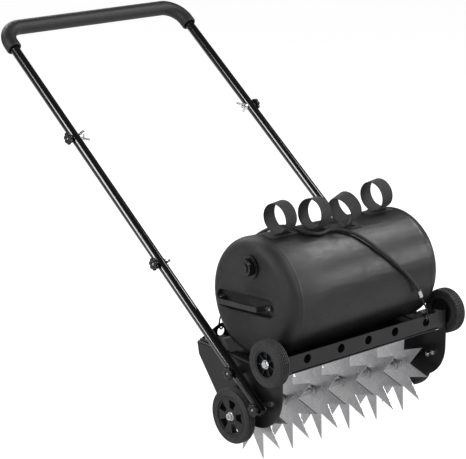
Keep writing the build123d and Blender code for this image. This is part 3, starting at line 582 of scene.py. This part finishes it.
def tube_gloss():
    """Deep gloss black coat."""
    shader = Shader("tube_gloss", (0.004, 0.004, 0.0042), 0.2, coat=0.6)
    shader.vary_roughness(shader.noise(45, 4), 0.15, 0.22)
    shader.bump(shader.noise(260, 2), 0.000004, 0.4)
    return shader.material


def zinc(name="zinc", roughness=0.24):
    """Bright zinc plate, slightly clouded."""
    shader = Shader(name, (0.72, 0.73, 0.74), roughness, metallic=1.0)
    shader.vary_roughness(shader.noise(240, 4), roughness - 0.05, roughness + 0.12)
    shader.vary_color(shader.noise(130, 3), 0.82, 1.05)
    shader.bump(shader.noise(1500, 2), 0.00002, 0.5)
    return shader.material


def galvanised():
    """Galvanised steel with spangle, faint scratches and darker stains."""
    shader = Shader("galvanised", (0.62, 0.62, 0.63), 0.30, metallic=1.0)
    shader.vary_color(shader.cells(150, output="Color"), 0.95, 1.03)
    shader.vary_color(shader.noise(30, 5), 0.90, 1.04)
    shader.vary_roughness(shader.noise(70, 5), 0.25, 0.38)
    shader.bump(shader.noise(260, 4, stretch=(1, 6, 1)), 0.00002, 0.3)
    return shader.material


def shaft_zinc_whitened_as_highlight():
    """Zinc tube with drawing lines along it, made whiter and softer than the cut discs: a painted highlight
    that gives the shaft a bright band.
    """
    # whitened base colour and low metallic: a painted highlight
    shader = Shader("shaft_zinc_whitened_as_highlight", (0.85, 0.85, 0.86), 0.28, metallic=0.35)
    shader.vary_roughness(shader.noise(60, 4, stretch=(0.15, 1, 1)), 0.22, 0.34)
    shader.vary_color(shader.noise(45, 4, stretch=(0.1, 1, 1)), 0.88, 1.04)
    shader.bump(shader.noise(500, 2, stretch=(0.05, 1, 1)), 0.00001, 0.4)
    return shader.material


def tyre_rubber():
    """Matt rubber with a patchy, dusty tone."""
    shader = Shader("tyre_rubber", (0.019, 0.019, 0.0195), 0.62, sheen=0.08)
    shader.vary_color(shader.noise(60, 5), 0.75, 1.45)
    shader.vary_roughness(shader.noise(40, 4), 0.52, 0.75)
    shader.bump(shader.noise(1300, 3), 0.00012, 0.7)
    return shader.material


def moulded(name, color, roughness, grain=0.00005):
    """Injection-moulded plastic or nylon with a fine spark grain."""
    shader = Shader(name, color, roughness)
    shader.vary_roughness(shader.noise(110, 4), roughness - 0.07, roughness + 0.1)
    shader.vary_color(shader.noise(35, 4), 0.8, 1.3)
    shader.bump(shader.cells(1600), grain, 0.35)
    return shader.material


def grip_foam():
    """Closed-cell foam: fine pores and a soft sheen."""
    shader = Shader("grip_foam", (0.014, 0.014, 0.0145), 0.5, sheen=0.05)
    shader.vary_color(shader.noise(70, 5), 0.8, 1.25)
    shader.bump(shader.cells(1100), 0.00025, 0.8)
    shader.bump(shader.noise(180, 4), 0.0003, 0.35)
    return shader.material


def bag_fabric():
    """Coated fabric: satin skin over a fine square weave, with a diamond grain near the left end."""
    shader = Shader("bag_fabric", (0.010, 0.0098, 0.010), 0.38)
    shader.vary_color(shader.noise(14, 5), 0.85, 1.2)
    shader.vary_roughness(shader.noise(55, 5), 0.34, 0.47)
    weave = shader.math("MULTIPLY", shader.wave(260, "X", "UV"), shader.wave(260, "Y", "UV"))
    shader.bump(weave, 0.00012, 0.45)
    diamonds = shader.math("MULTIPLY", shader.wave(185, "DIAGONAL", "UV"),
                           shader.wave(185, "DIAGONAL", "UV", (1, -1, 1)))
    fade = shader.spread(shader.along(), 1.0, 0.0, 0.19, 0.31)
    shader.bump(shader.math("MULTIPLY", diamonds, fade), 0.0006, 0.7)
    shader.bump(shader.noise(700, 3), 0.00005, 0.5)
    return shader.material


def webbing(name, color):
    """Woven strap: fine picks, uneven yarns, painted shade in the hollows between ribs with painted
    highlight on their crests, darker outer edges and a slightly fuzzy face.
    """
    shader = Shader(name, color, 0.7, sheen=0.1)
    picks = shader.math("MULTIPLY", shader.wave(330, "X", source="UV"), shader.wave(420, "Y", source="UV"))
    shader.vary_color(picks, 0.6, 1.5)
    # painted shade in the rib hollows and painted highlight on the rib crests
    shader.vary_color(shader.wave(RIB_SHADE_WAVE, "X", "UV"), 0.25, 1.6)
    shader.vary_color(shader.noise(330, 2, "UV", (1, 0.6, 1)), 0.35, 1.9)
    # darkens the strap to about a seventh along its outer edges
    selvedge = shader.math("ABSOLUTE", shader.along())
    shader.vary_color(shader.spread(selvedge, 1.0, 0.0, 0.0185, 0.0200), 0.15, 1.0)
    shader.vary_color(shader.noise(50, 5), 0.8, 1.2)
    shader.bump(picks, 0.0003, 0.8)
    shader.bump(shader.noise(2200, 2), 0.0001, 0.6)
    return shader.material


def cord_braid():
    """Black braided sheath with a few lighter flecks."""
    shader = Shader("cord_braid", (0.004, 0.004, 0.0042), 0.6)
    shader.vary_color(shader.noise(330, 2), 0.3, 9.0)
    shader.bump(shader.noise(2600, 2), 0.0001, 0.7)
    return shader.material


def gasket_rubber():
    """Dark, slightly rough rubber."""
    shader = Shader("gasket_rubber", (0.014, 0.014, 0.015), 0.5)
    shader.vary_roughness(shader.noise(200, 3), 0.42, 0.6)
    shader.bump(shader.noise(900, 2), 0.00005, 0.6)
    return shader.material


def make_materials():
    """Every material by its slot name."""
    return {
        "plate_paint": plate_paint(),
        "tube_gloss": tube_gloss(),
        "zinc": zinc(),
        "wing_zinc": zinc("wing_zinc", 0.3),
        "galvanised": galvanised(),
        "shaft_zinc_whitened_as_highlight": shaft_zinc_whitened_as_highlight(),
        "tyre_rubber": tyre_rubber(),
        "wheel_plastic": moulded("wheel_plastic", (0.008, 0.008, 0.0082), 0.40),
        "bush_plastic": moulded("bush_plastic", (0.012, 0.012, 0.012), 0.48),
        "knob_plastic": moulded("knob_plastic", (0.006, 0.006, 0.0062), 0.28, 0.00003),
        "grip_foam": grip_foam(),
        "bag_fabric": bag_fabric(),
        "foot_rubber": moulded("foot_rubber", (0.11, 0.11, 0.11), 0.6, 0.0001),
        "valve_plastic": moulded("valve_plastic", (0.007, 0.007, 0.0072), 0.24, 0.00002),
        "gasket_rubber": gasket_rubber(),
        "strap_plastic": moulded("strap_plastic", (0.018, 0.018, 0.0185), 0.30, 0.00003),
        "webbing": webbing("webbing", (0.020, 0.020, 0.0205)),
        "patch_webbing": webbing("patch_webbing", (0.004, 0.004, 0.0042)),
        "cord_braid": cord_braid(),
        "hook_wire": moulded("hook_wire", (0.010, 0.010, 0.010), 0.3),
    }


# ---- places


def middle(node):
    """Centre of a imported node's box."""
    low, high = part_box(node)
    return (low + high) / 2


class Bag:
    """The bag's axis, ends and radii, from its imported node."""

    def __init__(self):
        low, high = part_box("ballast_bag")
        self.left = low.x
        self.right = high.x
        self.left_radius = (high.y - low.y) / 2
        self.y = (high.y + low.y) / 2
        self.z = high.z - self.left_radius
        self.floor = low.z

    def radius(self, x):
        """Body radius, which falls evenly from the left rounded edge to the right one."""
        start = self.left + BAG_CAP_RISE + BAG_LEFT_EDGE
        end = self.right - BAG_CAP_RISE - BAG_RIGHT_EDGE
        return self.left_radius - BAG_TAPER * (x - start) / (end - start)

    def top_point(self, x, arc, height):
        """Point above the bag's surface; arc runs round from the top, rearwards positive."""
        radius = self.radius(x)
        angle = arc / radius
        reach = radius + height
        return Vector((x, self.y + reach * math.sin(angle), self.z + reach * math.cos(angle)))


# ---- ballast bag


def bag_profile(bag):
    """(x, radius) rows from the left cap's centre over the body to the right cap's centre."""
    rows = []
    left_shoulder, right_shoulder = bag.left + BAG_CAP_RISE, bag.right - BAG_CAP_RISE
    flat_left = bag.left_radius - BAG_LEFT_EDGE
    flat_right = bag.left_radius - BAG_TAPER - BAG_RIGHT_EDGE
    radius = CAP_CENTRE_RADIUS
    while radius < flat_left:
        rows.append((bag.left + BAG_CAP_RISE * (radius / flat_left) ** 2, radius))
        radius += LEFT_CAP_CENTRE_STEP if radius < LEFT_CAP_CENTRE_END else LEFT_CAP_STEP
    for step in range(LEFT_EDGE_ROWS + 1):
        turn = math.radians(90 * step / LEFT_EDGE_ROWS)
        rows.append((left_shoulder + BAG_LEFT_EDGE * (1 - math.cos(turn)),
                     flat_left + BAG_LEFT_EDGE * math.sin(turn)))
    start, end = left_shoulder + BAG_LEFT_EDGE, right_shoulder - BAG_RIGHT_EDGE
    for step in range(1, BODY_ROWS):
        x = start + (end - start) * (step / BODY_ROWS) ** BODY_CROWDING
        rows.append((x, bag.radius(x)))
    for step in range(RIGHT_EDGE_ROWS + 1):
        turn = math.radians(90 - 90 * step / RIGHT_EDGE_ROWS)
        rows.append((right_shoulder - BAG_RIGHT_EDGE * (1 - math.cos(turn)),
                     flat_right + BAG_RIGHT_EDGE * math.sin(turn)))
    radius = flat_right - RIGHT_CAP_START
    while radius > CAP_CENTRE_RADIUS:
        rows.append((bag.right - BAG_CAP_RISE * (radius / flat_right) ** 2, radius))
        radius -= RIGHT_CAP_STEP
    return rows


def recess_depth(y, z):
    """How far the left cap is pushed in at a place given from the bag's axis; negative is proud."""
    tilt = math.radians(RECESS_TILT)
    dy, dz = y - RECESS_Y_FROM_AXIS, z - RECESS_Z_FROM_AXIS
    along = dy * math.cos(tilt) - dz * math.sin(tilt)
    up = dy * math.sin(tilt) + dz * math.cos(tilt)
    distance = rounded_box_distance(along, up, RECESS_HALF_LENGTH, RECESS_HALF_HEIGHT, RECESS_CORNER)
    depth = RECESS_DEPTH * ease(-distance / RECESS_WALL)
    lip = RECESS_LIP * math.exp(-((distance - RECESS_LIP_FROM_WALL) / RECESS_LIP_WIDTH) ** 2)
    return depth - lip


def bag_wrinkle(x, angle, radius):
    """Slight unevenness of the filled skin, with finer puckers away from the caps' middles."""
    place = Vector((x * WRINKLES_ALONG, math.cos(angle) * WRINKLES_ROUND, math.sin(angle) * WRINKLES_ROUND))
    broad = noise.noise(place)
    pucker = noise.noise(Vector((angle * PUCKERS_ROUND, x * PUCKERS_ALONG, PUCKER_LAYER)))
    return WRINKLE * broad + PUCKER * pucker * (1 if radius > PUCKER_MIN_RADIUS else 0)


def seam_relief(x, radius, bag):
    """Raised tapes at the caps, stitched along their middles, and a line round the left cap."""
    left_seam = bag.left + BAG_CAP_RISE + BAG_LEFT_EDGE + SEAM_FROM_EDGE
    right_seam = bag.right - BAG_CAP_RISE - BAG_RIGHT_EDGE - SEAM_FROM_EDGE
    relief = 0.0
    for seam in (left_seam, right_seam):
        offset = x - seam
        tape = SEAM_HEIGHT * ease((SEAM_HALF_WIDTH - abs(offset)) / SEAM_SLOPE)
        groove = STITCH_GROOVE_DEPTH * math.exp(-(offset / STITCH_GROOVE_WIDTH) ** 2)
        relief += tape - groove
    if x < bag.left + LEFT_CAP_DEPTH:
        relief -= CAP_LINE_DEPTH * math.exp(-((radius - CAP_LINE_RADIUS) / CAP_LINE_WIDTH) ** 2)
    return relief


def rest_flat(z, floor):
    """Keeps the skin above the deck, with a soft change where it leaves it."""
    over = (z - floor) / REST_SOFTNESS
    if over > 30:
        return z
    return floor + REST_SOFTNESS * math.log1p(math.exp(over))


def ballast_bag(bag, material):
    """The water bag as one fine surface: crowned caps, hand recess, seams and a flat rest."""
    profile = bag_profile(bag)
    points, uvs = [], []
    distance = 0.0
    for index, (x, radius) in enumerate(profile):
        before = profile[max(index - 1, 0)]
        after = profile[min(index + 1, len(profile) - 1)]
        out = Vector((before[1] - after[1], after[0] - before[0])).normalized()
        distance += math.hypot(x - before[0], radius - before[1])
        for turn in range(BAG_TURNS):
            angle = TAU * turn / BAG_TURNS
            relief = bag_wrinkle(x, angle, radius) + seam_relief(x, radius, bag)
            here_x = x + out.x * relief
            here_radius = radius + out.y * relief
            y, z = here_radius * math.sin(angle), here_radius * math.cos(angle)
            if x < bag.left + LEFT_CAP_DEPTH:
                here_x += recess_depth(y, z)
            z = rest_flat(bag.z + z, bag.floor)
            points.append((here_x, bag.y + y, z))
            uvs.append((distance, angle * SKIN_METRES_PER_RADIAN))
    mesh = mesh_from("ballast_bag_skin", points, closed_faces(len(profile), BAG_TURNS), uvs)
    tidy_normals(mesh)
    skin = new_object("ballast_bag_skin", mesh, material)
    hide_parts("ballast_bag")
    return skin


# ---- webbing


def pad_on_bag(name, bag, x, shift, half_length, half_width, corner, base, thickness, material, lift=None):
    """Flat rounded piece lying on the bag; lift(u) raises it along its length."""
    outline = rounded_outline(half_length, half_width, corner)
    # the top from its middle out to a softened edge, then the underside back to the middle
    rows = [(scale, thickness if scale < 0.97 else thickness * 0.8) for scale in PAD_SCALES]
    rows += [(1.0, thickness * 0.2), (0.98, 0.0)] + [(scale, 0.0) for scale in reversed(PAD_SCALES[:-2])]
    points, uvs = [], []
    for scale, height in rows:
        for corner_point in outline:
            u, v = corner_point.x * scale, corner_point.y * scale
            raised = lift(u) if lift else 0.0
            points.append(bag.top_point(x + u, shift + v, base + height + raised))
            uvs.append((u, v))
    mesh = mesh_from(name, points, closed_faces(len(rows), len(outline)), uvs)
    tidy_normals(mesh)
    return sharp_by_angle(new_object(name, mesh, material), 60)


def thread(bag, x, shift, middle_point, along, height):
    """Rings of points of one thread: raised in its middle and thin at its ends."""
    across = Vector((-along.y, along.x))
    points = []
    for t in THREAD_RINGS:
        centre = middle_point + along * THREAD_LENGTH * t
        arch = THREAD_ARCH * (1 - (2 * t) ** 2)
        thin = THREAD_RADIUS * (THREAD_TIP if abs(t) > 0.4 else 1.0)
        for side in range(THREAD_SIDES):
            angle = TAU * side / THREAD_SIDES
            flat = centre + across * thin * math.cos(angle)
            points.append(bag.top_point(x + flat.x, shift + flat.y, height + arch + thin * math.sin(angle)))
    return points


def stitches(name, bag, runs, height, material):
    """Short raised threads along outlines on the bag; each run is (x, shift, outline points)."""
    points, faces = [], []
    for x, shift, outline in runs:
        walked, place = 0.0, 0.0
        for index, start in enumerate(outline):
            end = outline[(index + 1) % len(outline)]
            gap = (end - start).length
            along = (end - start).normalized()
            while place < walked + gap:
                at = start.lerp(end, (place - walked) / gap)
                faces += closed_faces(len(THREAD_RINGS), THREAD_SIDES, len(points))
                points += thread(bag, x, shift, at, along, height)
                place += THREAD_LENGTH * THREAD_SPACING
            walked += gap
    mesh = mesh_from(name, points, faces)
    tidy_normals(mesh)
    return new_object(name, mesh, material)


def strap_section(taper):
    """(across, height) outline of the ribbed strap, thinner at its selvedges and by the taper."""
    ring = []
    for column in range(LOOP_COLUMNS + 1):
        place = LOOP_WIDTH * (column / LOOP_COLUMNS - 0.5)
        selvedge = ease((abs(place) - LOOP_WIDTH * SELVEDGE_START) / (LOOP_WIDTH * SELVEDGE_SPAN))
        edge = 1 - SELVEDGE_THINNING * selvedge
        rib = RIB_HEIGHT * abs(math.sin(math.pi * place / RIB_PITCH))
        ring.append((place, (PLY / 2 * edge + rib) * taper))
    return ring + [(place, -half) for place, half in reversed(ring)]


def loop_place(bag, x, shift, yaw, tilt):
    """Where a loop stands: on the bag's surface, turned about the vertical and leaning sideways."""
    lean = math.radians(tilt)
    surface = math.sqrt(bag.radius(x) ** 2 - shift**2)
    standing = LOOP_RADIUS * math.cos(lean) + LOOP_WIDTH / 2 * abs(math.sin(lean))
    centre = Vector((x, bag.y + shift, bag.z + surface + LOOP_GAP + standing))
    turned = Matrix.Rotation(math.radians(yaw), 4, "Z") @ Matrix.Rotation(-lean, 4, "Y")
    return Matrix.Translation(centre) @ turned


def strap_loop(name, bag, x, shift, yaw, tilt, material):
    """One strap rolled into a standing ring, with its ends lapped at the bottom."""
    points, uvs = [], []
    for turn in range(LOOP_TURNS + 1):
        share = turn / LOOP_TURNS
        angle = math.radians(LOOP_START) + math.radians(LOOP_SWEEP) * share
        lap = 0.5 - ease((share - LAP_START) / LAP_SPAN)
        base = LOOP_RADIUS - LOOP_INSET + lap * (PLY + PLY_GAP)
        taper = min(1.0, LOOP_END_THINNESS + min(share, 1 - share) * LOOP_END_SLOPE)
        sway = LOOP_SWAY * noise.noise(Vector((x * 20, math.cos(angle), math.sin(angle))))
        for place, height in strap_section(taper):
            reach = base + sway + height
            points.append(Vector((place, reach * math.cos(angle), reach * math.sin(angle))))
            uvs.append((place, angle * LOOP_RADIUS))
    mesh = mesh_from(name, points, closed_faces(LOOP_TURNS + 1, 2 * (LOOP_COLUMNS + 1)), uvs)
    mesh.transform(loop_place(bag, x, shift, yaw, tilt))
    tidy_normals(mesh)
    return sharp_by_angle(new_object(name, mesh, material), 70)


def tab_lift(u):
    """Height of a keeper tab above its patch, raised where it covers the loop's plies."""
    over = LOOP_GAP + PLY * 2 + TAB_CLEARANCE - PATCH_THICKNESS - TAB_SEAT
    return over * (1 - ease((abs(u) - TAB_RAISED_HALF) / TAB_SLOPE))


def strap_loops(bag, materials):
    """Four loops with their sewn patches, keeper tabs and threads."""
    runs = []
    pieces = []
    half_length, half_width = PATCH_LENGTH / 2, PATCH_WIDTH / 2
    thread_line = rounded_outline(half_length - THREAD_INSET, half_width - THREAD_INSET, THREAD_CORNER)
    places = zip(LOOP_XS, LOOP_SHIFTS, LOOP_YAWS, LOOP_TILTS)
    for index, (x, shift, yaw, tilt) in enumerate(places, start=1):
        loop = strap_loop(f"strap_loop_{index}", bag, x, shift, yaw, tilt, materials["webbing"])
        patch = pad_on_bag(f"strap_patch_{index}", bag, x, shift, half_length, half_width, PATCH_CORNER,
                           PAD_GAP, PATCH_THICKNESS, materials["patch_webbing"])
        tab = pad_on_bag(f"strap_keeper_{index}", bag, x, shift, TAB_LENGTH / 2, TAB_WIDTH / 2, TAB_CORNER,
                         PATCH_THICKNESS + TAB_GAP, PLY, materials["webbing"], tab_lift)
        runs.append((x, shift, thread_line))
        pieces += [loop, patch, tab]
    threads = stitches("strap_patch_threads", bag, runs, PAD_GAP + PATCH_THICKNESS, materials["webbing"])
    pieces.append(threads)
    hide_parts("strap_loops")
    return pieces


# ---- cord


def cord_path(bag, shaft_y):
    """Centre line of the cord from its rear ferrule over the bag to its front ferrule."""
    rear = Vector(CORD_REAR_END) + Vector((0, shaft_y, 0))
    front = Vector(CORD_FRONT_END) + Vector((0, shaft_y, 0))
    points = [rear]
    for angle, x in CORD_WAYPOINTS:
        reach = bag.radius(x) + CORD_LIFT + CORD_RADIUS
        turn = math.radians(angle)
        points.append(Vector((x, bag.y - reach * math.sin(turn), bag.z + reach * math.cos(turn))))
    points.append(front)
    return smooth_curve(points, CORD_STEP)


def braid(angle, distance):
    """Crossing strands round the sheath."""
    twist = distance / BRAID_PITCH * TAU
    strand = BRAID_STRANDS * angle
    return BRAID_LEVEL + BRAID_RELIEF * math.cos(strand + twist) * math.cos(strand - twist)


def stretch_cord(bag, shaft_y, material):
    """Braided elastic cord that follows the bag at its top and the bars at its ends."""
    frames = frames_along(cord_path(bag, shaft_y))
    rows = [(frame[0], CORD_RADIUS) for frame in frames]
    cord = swept("stretch_cord_braid", frames, rows, CORD_SIDES, material, braid)
    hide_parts("stretch_cord")
    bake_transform(cord)
    return cord


# ---- wheels


def tyre_profile(inner, outer, rim, radius, grooves, share):
    """(x, radius, share) outline of a tyre with a beaded rim, ringed sidewalls and a grooved tread."""
    height = radius - rim
    wall = [
        (0.0015, 0.0), (0.0004, 0.0012), (0.0, 0.003), (0.0004, height * 0.30), (0.0011, height * 0.33),
        (0.0004, height * 0.36), (-0.0001, height * 0.62), (0.0007, height * 0.66), (0.0002, height * 0.70),
        (0.0009, height - TYRE_SHOULDER * 1.1), (0.0020, height - TYRE_SHOULDER * 0.55),
    ]
    points = [(inner + inset, rim + up, 0) for inset, up in wall]
    pitch = (outer - inner - 2 * TYRE_SHOULDER) / (2 * grooves + 1)
    start = inner + TYRE_SHOULDER
    for index in range(2 * grooves + 1):
        left, right = start + index * pitch, start + (index + 1) * pitch
        if index % 2:
            points += [(left + TREAD_GROOVE_EDGE, radius - TREAD_GROOVE_DEPTH, 0),
                       (right - TREAD_GROOVE_EDGE, radius - TREAD_GROOVE_DEPTH, 0)]
            continue
        for x, inwards, insets in ((left, 1, (TREAD_RIB_EDGE, TREAD_RIB_TOP)),
                                   (right, -1, (TREAD_RIB_TOP, TREAD_RIB_EDGE))):
            crown = TREAD_CROWN * (1 - ((2 * (x - inner) / (outer - inner)) - 1) ** 2)
            for inset in insets:
                chamfer = TREAD_RIB_CHAMFER if inset == TREAD_RIB_EDGE else 0
                points.append((x + inwards * inset, radius - chamfer - TREAD_CROWN + crown, share))
    points += [(outer - inset, rim + up, 0) for inset, up in reversed(wall)]
    return points


def tyre(node, side, material, rim, grooves, cuts, turns):
    """A tyre turned from its profile, with cross cuts in the tread where it has them."""
    low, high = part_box(node)
    place = ((low.y + high.y) / 2, (low.z + high.z) / 2)
    radius = (high.z - low.z) / 2
    inner, outer = sorted((abs(low.x), abs(high.x)))

    def cut_depth(angle):
        return -TREAD_CUT_DEPTH if math.cos(cuts * angle) > TREAD_CUT_LIMIT else 0.0

    profile = tyre_profile(inner, outer, rim, radius, grooves, 1 if cuts else 0)
    piece = lathe(f"{node}_tread", profile, place, side, turns, material, cut_depth if cuts else None, 50)
    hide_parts(node)
    return piece


def tyres(material):
    """The lower wheels' grooved tyres and the front wheels' lugged ones."""
    for side, label in ((-1, "left"), (1, "right")):
        for wheel, shape in (("lower_wheel", LOWER_TYRE), ("front_wheel", FRONT_TYRE)):
            piece = tyre(f"{label}_{wheel}_tyre", side, material, **shape)
            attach(piece, f"{label}_{wheel}")


# ---- knobs


def knob_head(name, side, face, place, material):
    """Lobed clamp knob: a boss, rounded lobes, a domed face and a sunk centre."""
    mean = KNOB_REACH - KNOB_LOBE_HEIGHT
    boss = [(face, KNOB_BORE), (face, 0.0078), (face + 0.0006, 0.0084), (face + 0.0032, 0.0086)]
    lobed = [
        (face + 0.0038, 0.0100, 0.1), (face + 0.0040, 0.0130, 0.5), (face + 0.0046, mean - 0.0008, 0.9),
        (face + 0.0058, mean, 1.0), (face + 0.0100, mean, 1.0), (face + 0.0118, mean - 0.0006, 0.95),
        (face + 0.0128, mean - 0.0022, 0.8), (face + 0.0133, mean - 0.0050, 0.45),
    ]
    dome = [(face + 0.0134, 0.0076), (face + 0.0130, 0.0068)]
    sunk = [(face + KNOB_SINK, radius) for radius in (0.0062, 0.0040, 0.0006)]
    bore = [(face + KNOB_BACK, 0.0006), (face + KNOB_BACK, KNOB_BORE)]

    def lobes(angle):
        return KNOB_LOBE_HEIGHT * (2 * abs(math.cos(KNOB_LOBES / 2 * angle)) ** KNOB_LOBE_POWER - 1)

    return lathe(name, boss + lobed + dome + sunk + bore, place, side, KNOB_TURNS, material, lobes, 42)


def stud(name, side, start, end, place, material):
    """Threaded stud with a chamfered tip, drawn as close rings."""
    root = STUD_RADIUS - STUD_GROOVE
    profile = [(end, STUD_CORE), (end, STUD_RADIUS - STUD_CHAMFER)]
    x = end + STUD_TIP
    while x < start - STUD_PITCH:
        profile += [(x, root), (x + STUD_PITCH / 2, STUD_RADIUS)]
        x += STUD_PITCH
    profile += [(start, root), (start, STUD_CORE)]
    return lathe(name, profile, place, side, STUD_TURNS, material, hard=50)


def stud_end(name, side, face, place, material):
    """Bright rounded stud end in a knob's sunk centre."""
    profile = [(face - 0.004, 0.0004), (face - 0.004, 0.0032), (face + 0.0006, 0.0032),
               (face + 0.0011, 0.0026), (face + 0.0013, 0.0004)]
    return lathe(name, profile, place, side, STUD_TURNS, material)


def clamp_knob(node, side, materials):
    """One handle knob with its stud."""
    low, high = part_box(node)
    place = ((low.y + high.y) / 2, (low.z + high.z) / 2)
    inner, outer = sorted((abs(low.x), abs(high.x)))
    face = outer - KNOB_DEPTH
    head = knob_head(f"{node}_head", side, face, place, materials["knob_plastic"])
    shank = stud(f"{node}_stud", side, face + 0.002, inner, place, materials["zinc"])
    dot = stud_end(f"{node}_stud_end", side, face + KNOB_SINK, place, materials["zinc"])
    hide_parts(node)
    for piece, slot in ((head, "knob_plastic"), (shank, "zinc"), (dot, "zinc")):
        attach(piece, node)


def clamp_knobs(materials):
    """The eight handle knobs."""
    for side, label in ((-1, "left"), (1, "right")):
        for place in KNOB_PLACES:
            clamp_knob(f"{label}_{place}", side, materials)


# ---- handle grip


def grip_path(bar_y, bar_z, tube_x):
    """Centre line of the grip in the handle's plane: up one side, across and down the other."""
    angle = math.radians(HANDLE_ANGLE)
    down = Vector((0, -math.cos(angle), -math.sin(angle)))
    bar = Vector((0, bar_y, bar_z))
    corner = bar + down * GRIP_BEND
    points = [Vector((-tube_x, 0, 0)) + corner + down * GRIP_TAIL]
    for side in (-1, 1):
        arc = []
        for step in range(GRIP_BEND_STEPS + 1):
            turn = math.radians(90 * step / GRIP_BEND_STEPS)
            across = tube_x - GRIP_BEND * (1 - math.cos(turn))
            rise = GRIP_BEND * math.sin(turn)
            arc.append(Vector((side * across, 0, 0)) + corner - down * rise)
        points += arc if side < 0 else list(reversed(arc))
    points.append(Vector((tube_x, 0, 0)) + corner + down * GRIP_TAIL)
    return points


def foam_grip(material):
    """Foam sleeve round the bow, with rolled ends that stand off the tube."""
    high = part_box("foam_grip")[1]
    path = grip_path(high.y - GRIP_RADIUS, high.z - GRIP_RADIUS, high.x - GRIP_RADIUS)
    frames = frames_along(path)
    length = frames[-1][0]
    mouth = [(0.010, TUBE_RADIUS + 0.0002), (0.010, 0.0172), (0.0015, 0.0172), (0.0004, 0.0180),
             (0.0, 0.0194), (0.0006, 0.0212), (0.0020, 0.0224), (0.0042, GRIP_RADIUS - 0.0001)]
    rows = list(mouth)
    rows += [(GRIP_MOUTH + (length - 2 * GRIP_MOUTH) * step / GRIP_ROWS, GRIP_RADIUS - GRIP_SKIN)
             for step in range(GRIP_ROWS + 1)]
    rows += [(length - distance, radius) for distance, radius in reversed(mouth)]

    def uneven(angle, distance):
        place = Vector((distance * 28, math.cos(angle) * 1.5, math.sin(angle) * 1.5))
        return 1 + GRIP_UNEVENNESS * noise.noise(place)

    sleeve = swept("foam_grip_sleeve", frames, rows, GRIP_SIDES, material, uneven, 50)
    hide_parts("foam_grip")
    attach(sleeve, "frame")


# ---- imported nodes


def finish_nodes(materials):
    """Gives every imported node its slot's material, and softens the edges of the hard ones."""
    for part in frame["record"]["subparts"]:
        obj = frame["nodes"][part["node"]]
        slot = part["material_slot"]
        obj.data.materials.clear()
        obj.data.materials.append(materials[OWN_FINISH.get(part["node"], slot)])
        if slot in BEVELS:
            weld = obj.modifiers.new("weld", "WELD")
            weld.merge_threshold = WELD_DISTANCE
            bevel = obj.modifiers.new("soft_edges", "BEVEL")
            bevel.width, bevel.segments = BEVELS[slot]
            bevel.limit_method = "ANGLE"
            bevel.angle_limit = math.radians(BEVEL_FROM_ANGLE)
            obj.modifiers.new("even_shading", "WEIGHTED_NORMAL")


# ---- studio


def area_light(name, place, target, size, power):
    """Soft rectangular lamp aimed at a point."""
    data = bpy.data.lights.new(name, "AREA")
    data.shape = "RECTANGLE"
    data.size, data.size_y = size
    data.energy = power
    lamp = bpy.data.objects.new(name, data)
    bpy.context.scene.collection.objects.link(lamp)
    lamp.location = place
    lamp.rotation_euler = (Vector(target) - Vector(place)).to_track_quat("-Z", "Y").to_euler()
    lamp.visible_camera = False


def floor():
    """Pale floor that looks evenly bright, and shows in the object's reflections."""
    corners = ((-1, -1), (1, -1), (1, 1), (-1, 1))
    points = [(x * FLOOR_REACH, y * FLOOR_REACH, FLOOR_HEIGHT) for x, y in corners]
    mesh = mesh_from("floor", points, [(0, 1, 2, 3)])
    shader = Shader("floor_paper", (0.35, 0.35, 0.35), 0.9)
    shader.vary_roughness(shader.noise(3, 2), 0.85, 0.95)
    sight = shader.tree.nodes.new("ShaderNodeLightPath")
    shader.surface.inputs["Emission Color"].default_value = WHITE
    seen = shader.math("MULTIPLY", sight.outputs["Is Camera Ray"], FLOOR_GLOW)
    mirrored = shader.math("MULTIPLY", sight.outputs["Is Glossy Ray"], FLOOR_REFLECTION)
    shader.link(shader.math("ADD", seen, mirrored), shader.surface.inputs["Emission Strength"])
    new_object("floor", mesh, shader.material, smooth=False)


def surround():
    """White to the camera, and a dim even light to everything else."""
    world = bpy.data.worlds.new("studio")
    bpy.context.scene.world = world
    world.use_nodes = True
    tree = world.node_tree
    ambient = tree.nodes["Background"]
    ambient.inputs["Color"].default_value = WHITE
    ambient.inputs["Strength"].default_value = SURROUND
    backdrop = tree.nodes.new("ShaderNodeBackground")
    backdrop.inputs["Color"].default_value = WHITE
    sight = tree.nodes.new("ShaderNodeLightPath")
    mix = tree.nodes.new("ShaderNodeMixShader")
    tree.links.new(sight.outputs["Is Camera Ray"], mix.inputs["Fac"])
    tree.links.new(ambient.outputs[0], mix.inputs[1])
    tree.links.new(backdrop.outputs[0], mix.inputs[2])
    tree.links.new(mix.outputs[0], tree.nodes["World Output"].inputs["Surface"])


def studio():
    """Floor, surround and soft lamps."""
    floor()
    surround()
    for name, place, target, size, power in LAMPS:
        area_light(name, place, target, size, power)
    bpy.context.scene.view_settings.view_transform = "Standard"


def camera():
    """Long lens at the front left, a little above the bag."""
    data = bpy.data.cameras.new("camera")
    data.lens = CAMERA_LENS
    data.sensor_width = CAMERA_SENSOR
    data.clip_end = CAMERA_SIGHT
    cam = bpy.data.objects.new("camera", data)
    bpy.context.scene.collection.objects.link(cam)
    cam.location = CAMERA_PLACE
    cam.rotation_euler = (math.radians(90 - CAMERA_ELEVATION), 0, math.radians(CAMERA_AZIMUTH))
    bpy.context.scene.camera = cam


def main():
    """Builds the pieces, the studio and the camera."""
    materials = make_materials()
    finish_nodes(materials)
    shaft_y = middle("spike_shaft").y

    bag = Bag()
    skin = ballast_bag(bag, materials["bag_fabric"])
    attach(skin, "ballast")
    for piece in strap_loops(bag, materials):
        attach(piece, "ballast")
    cord = stretch_cord(bag, shaft_y, materials["cord_braid"])

    tyres(materials["tyre_rubber"])
    clamp_knobs(materials)
    foam_grip(materials["grip_foam"])

    studio()
    camera()


main()
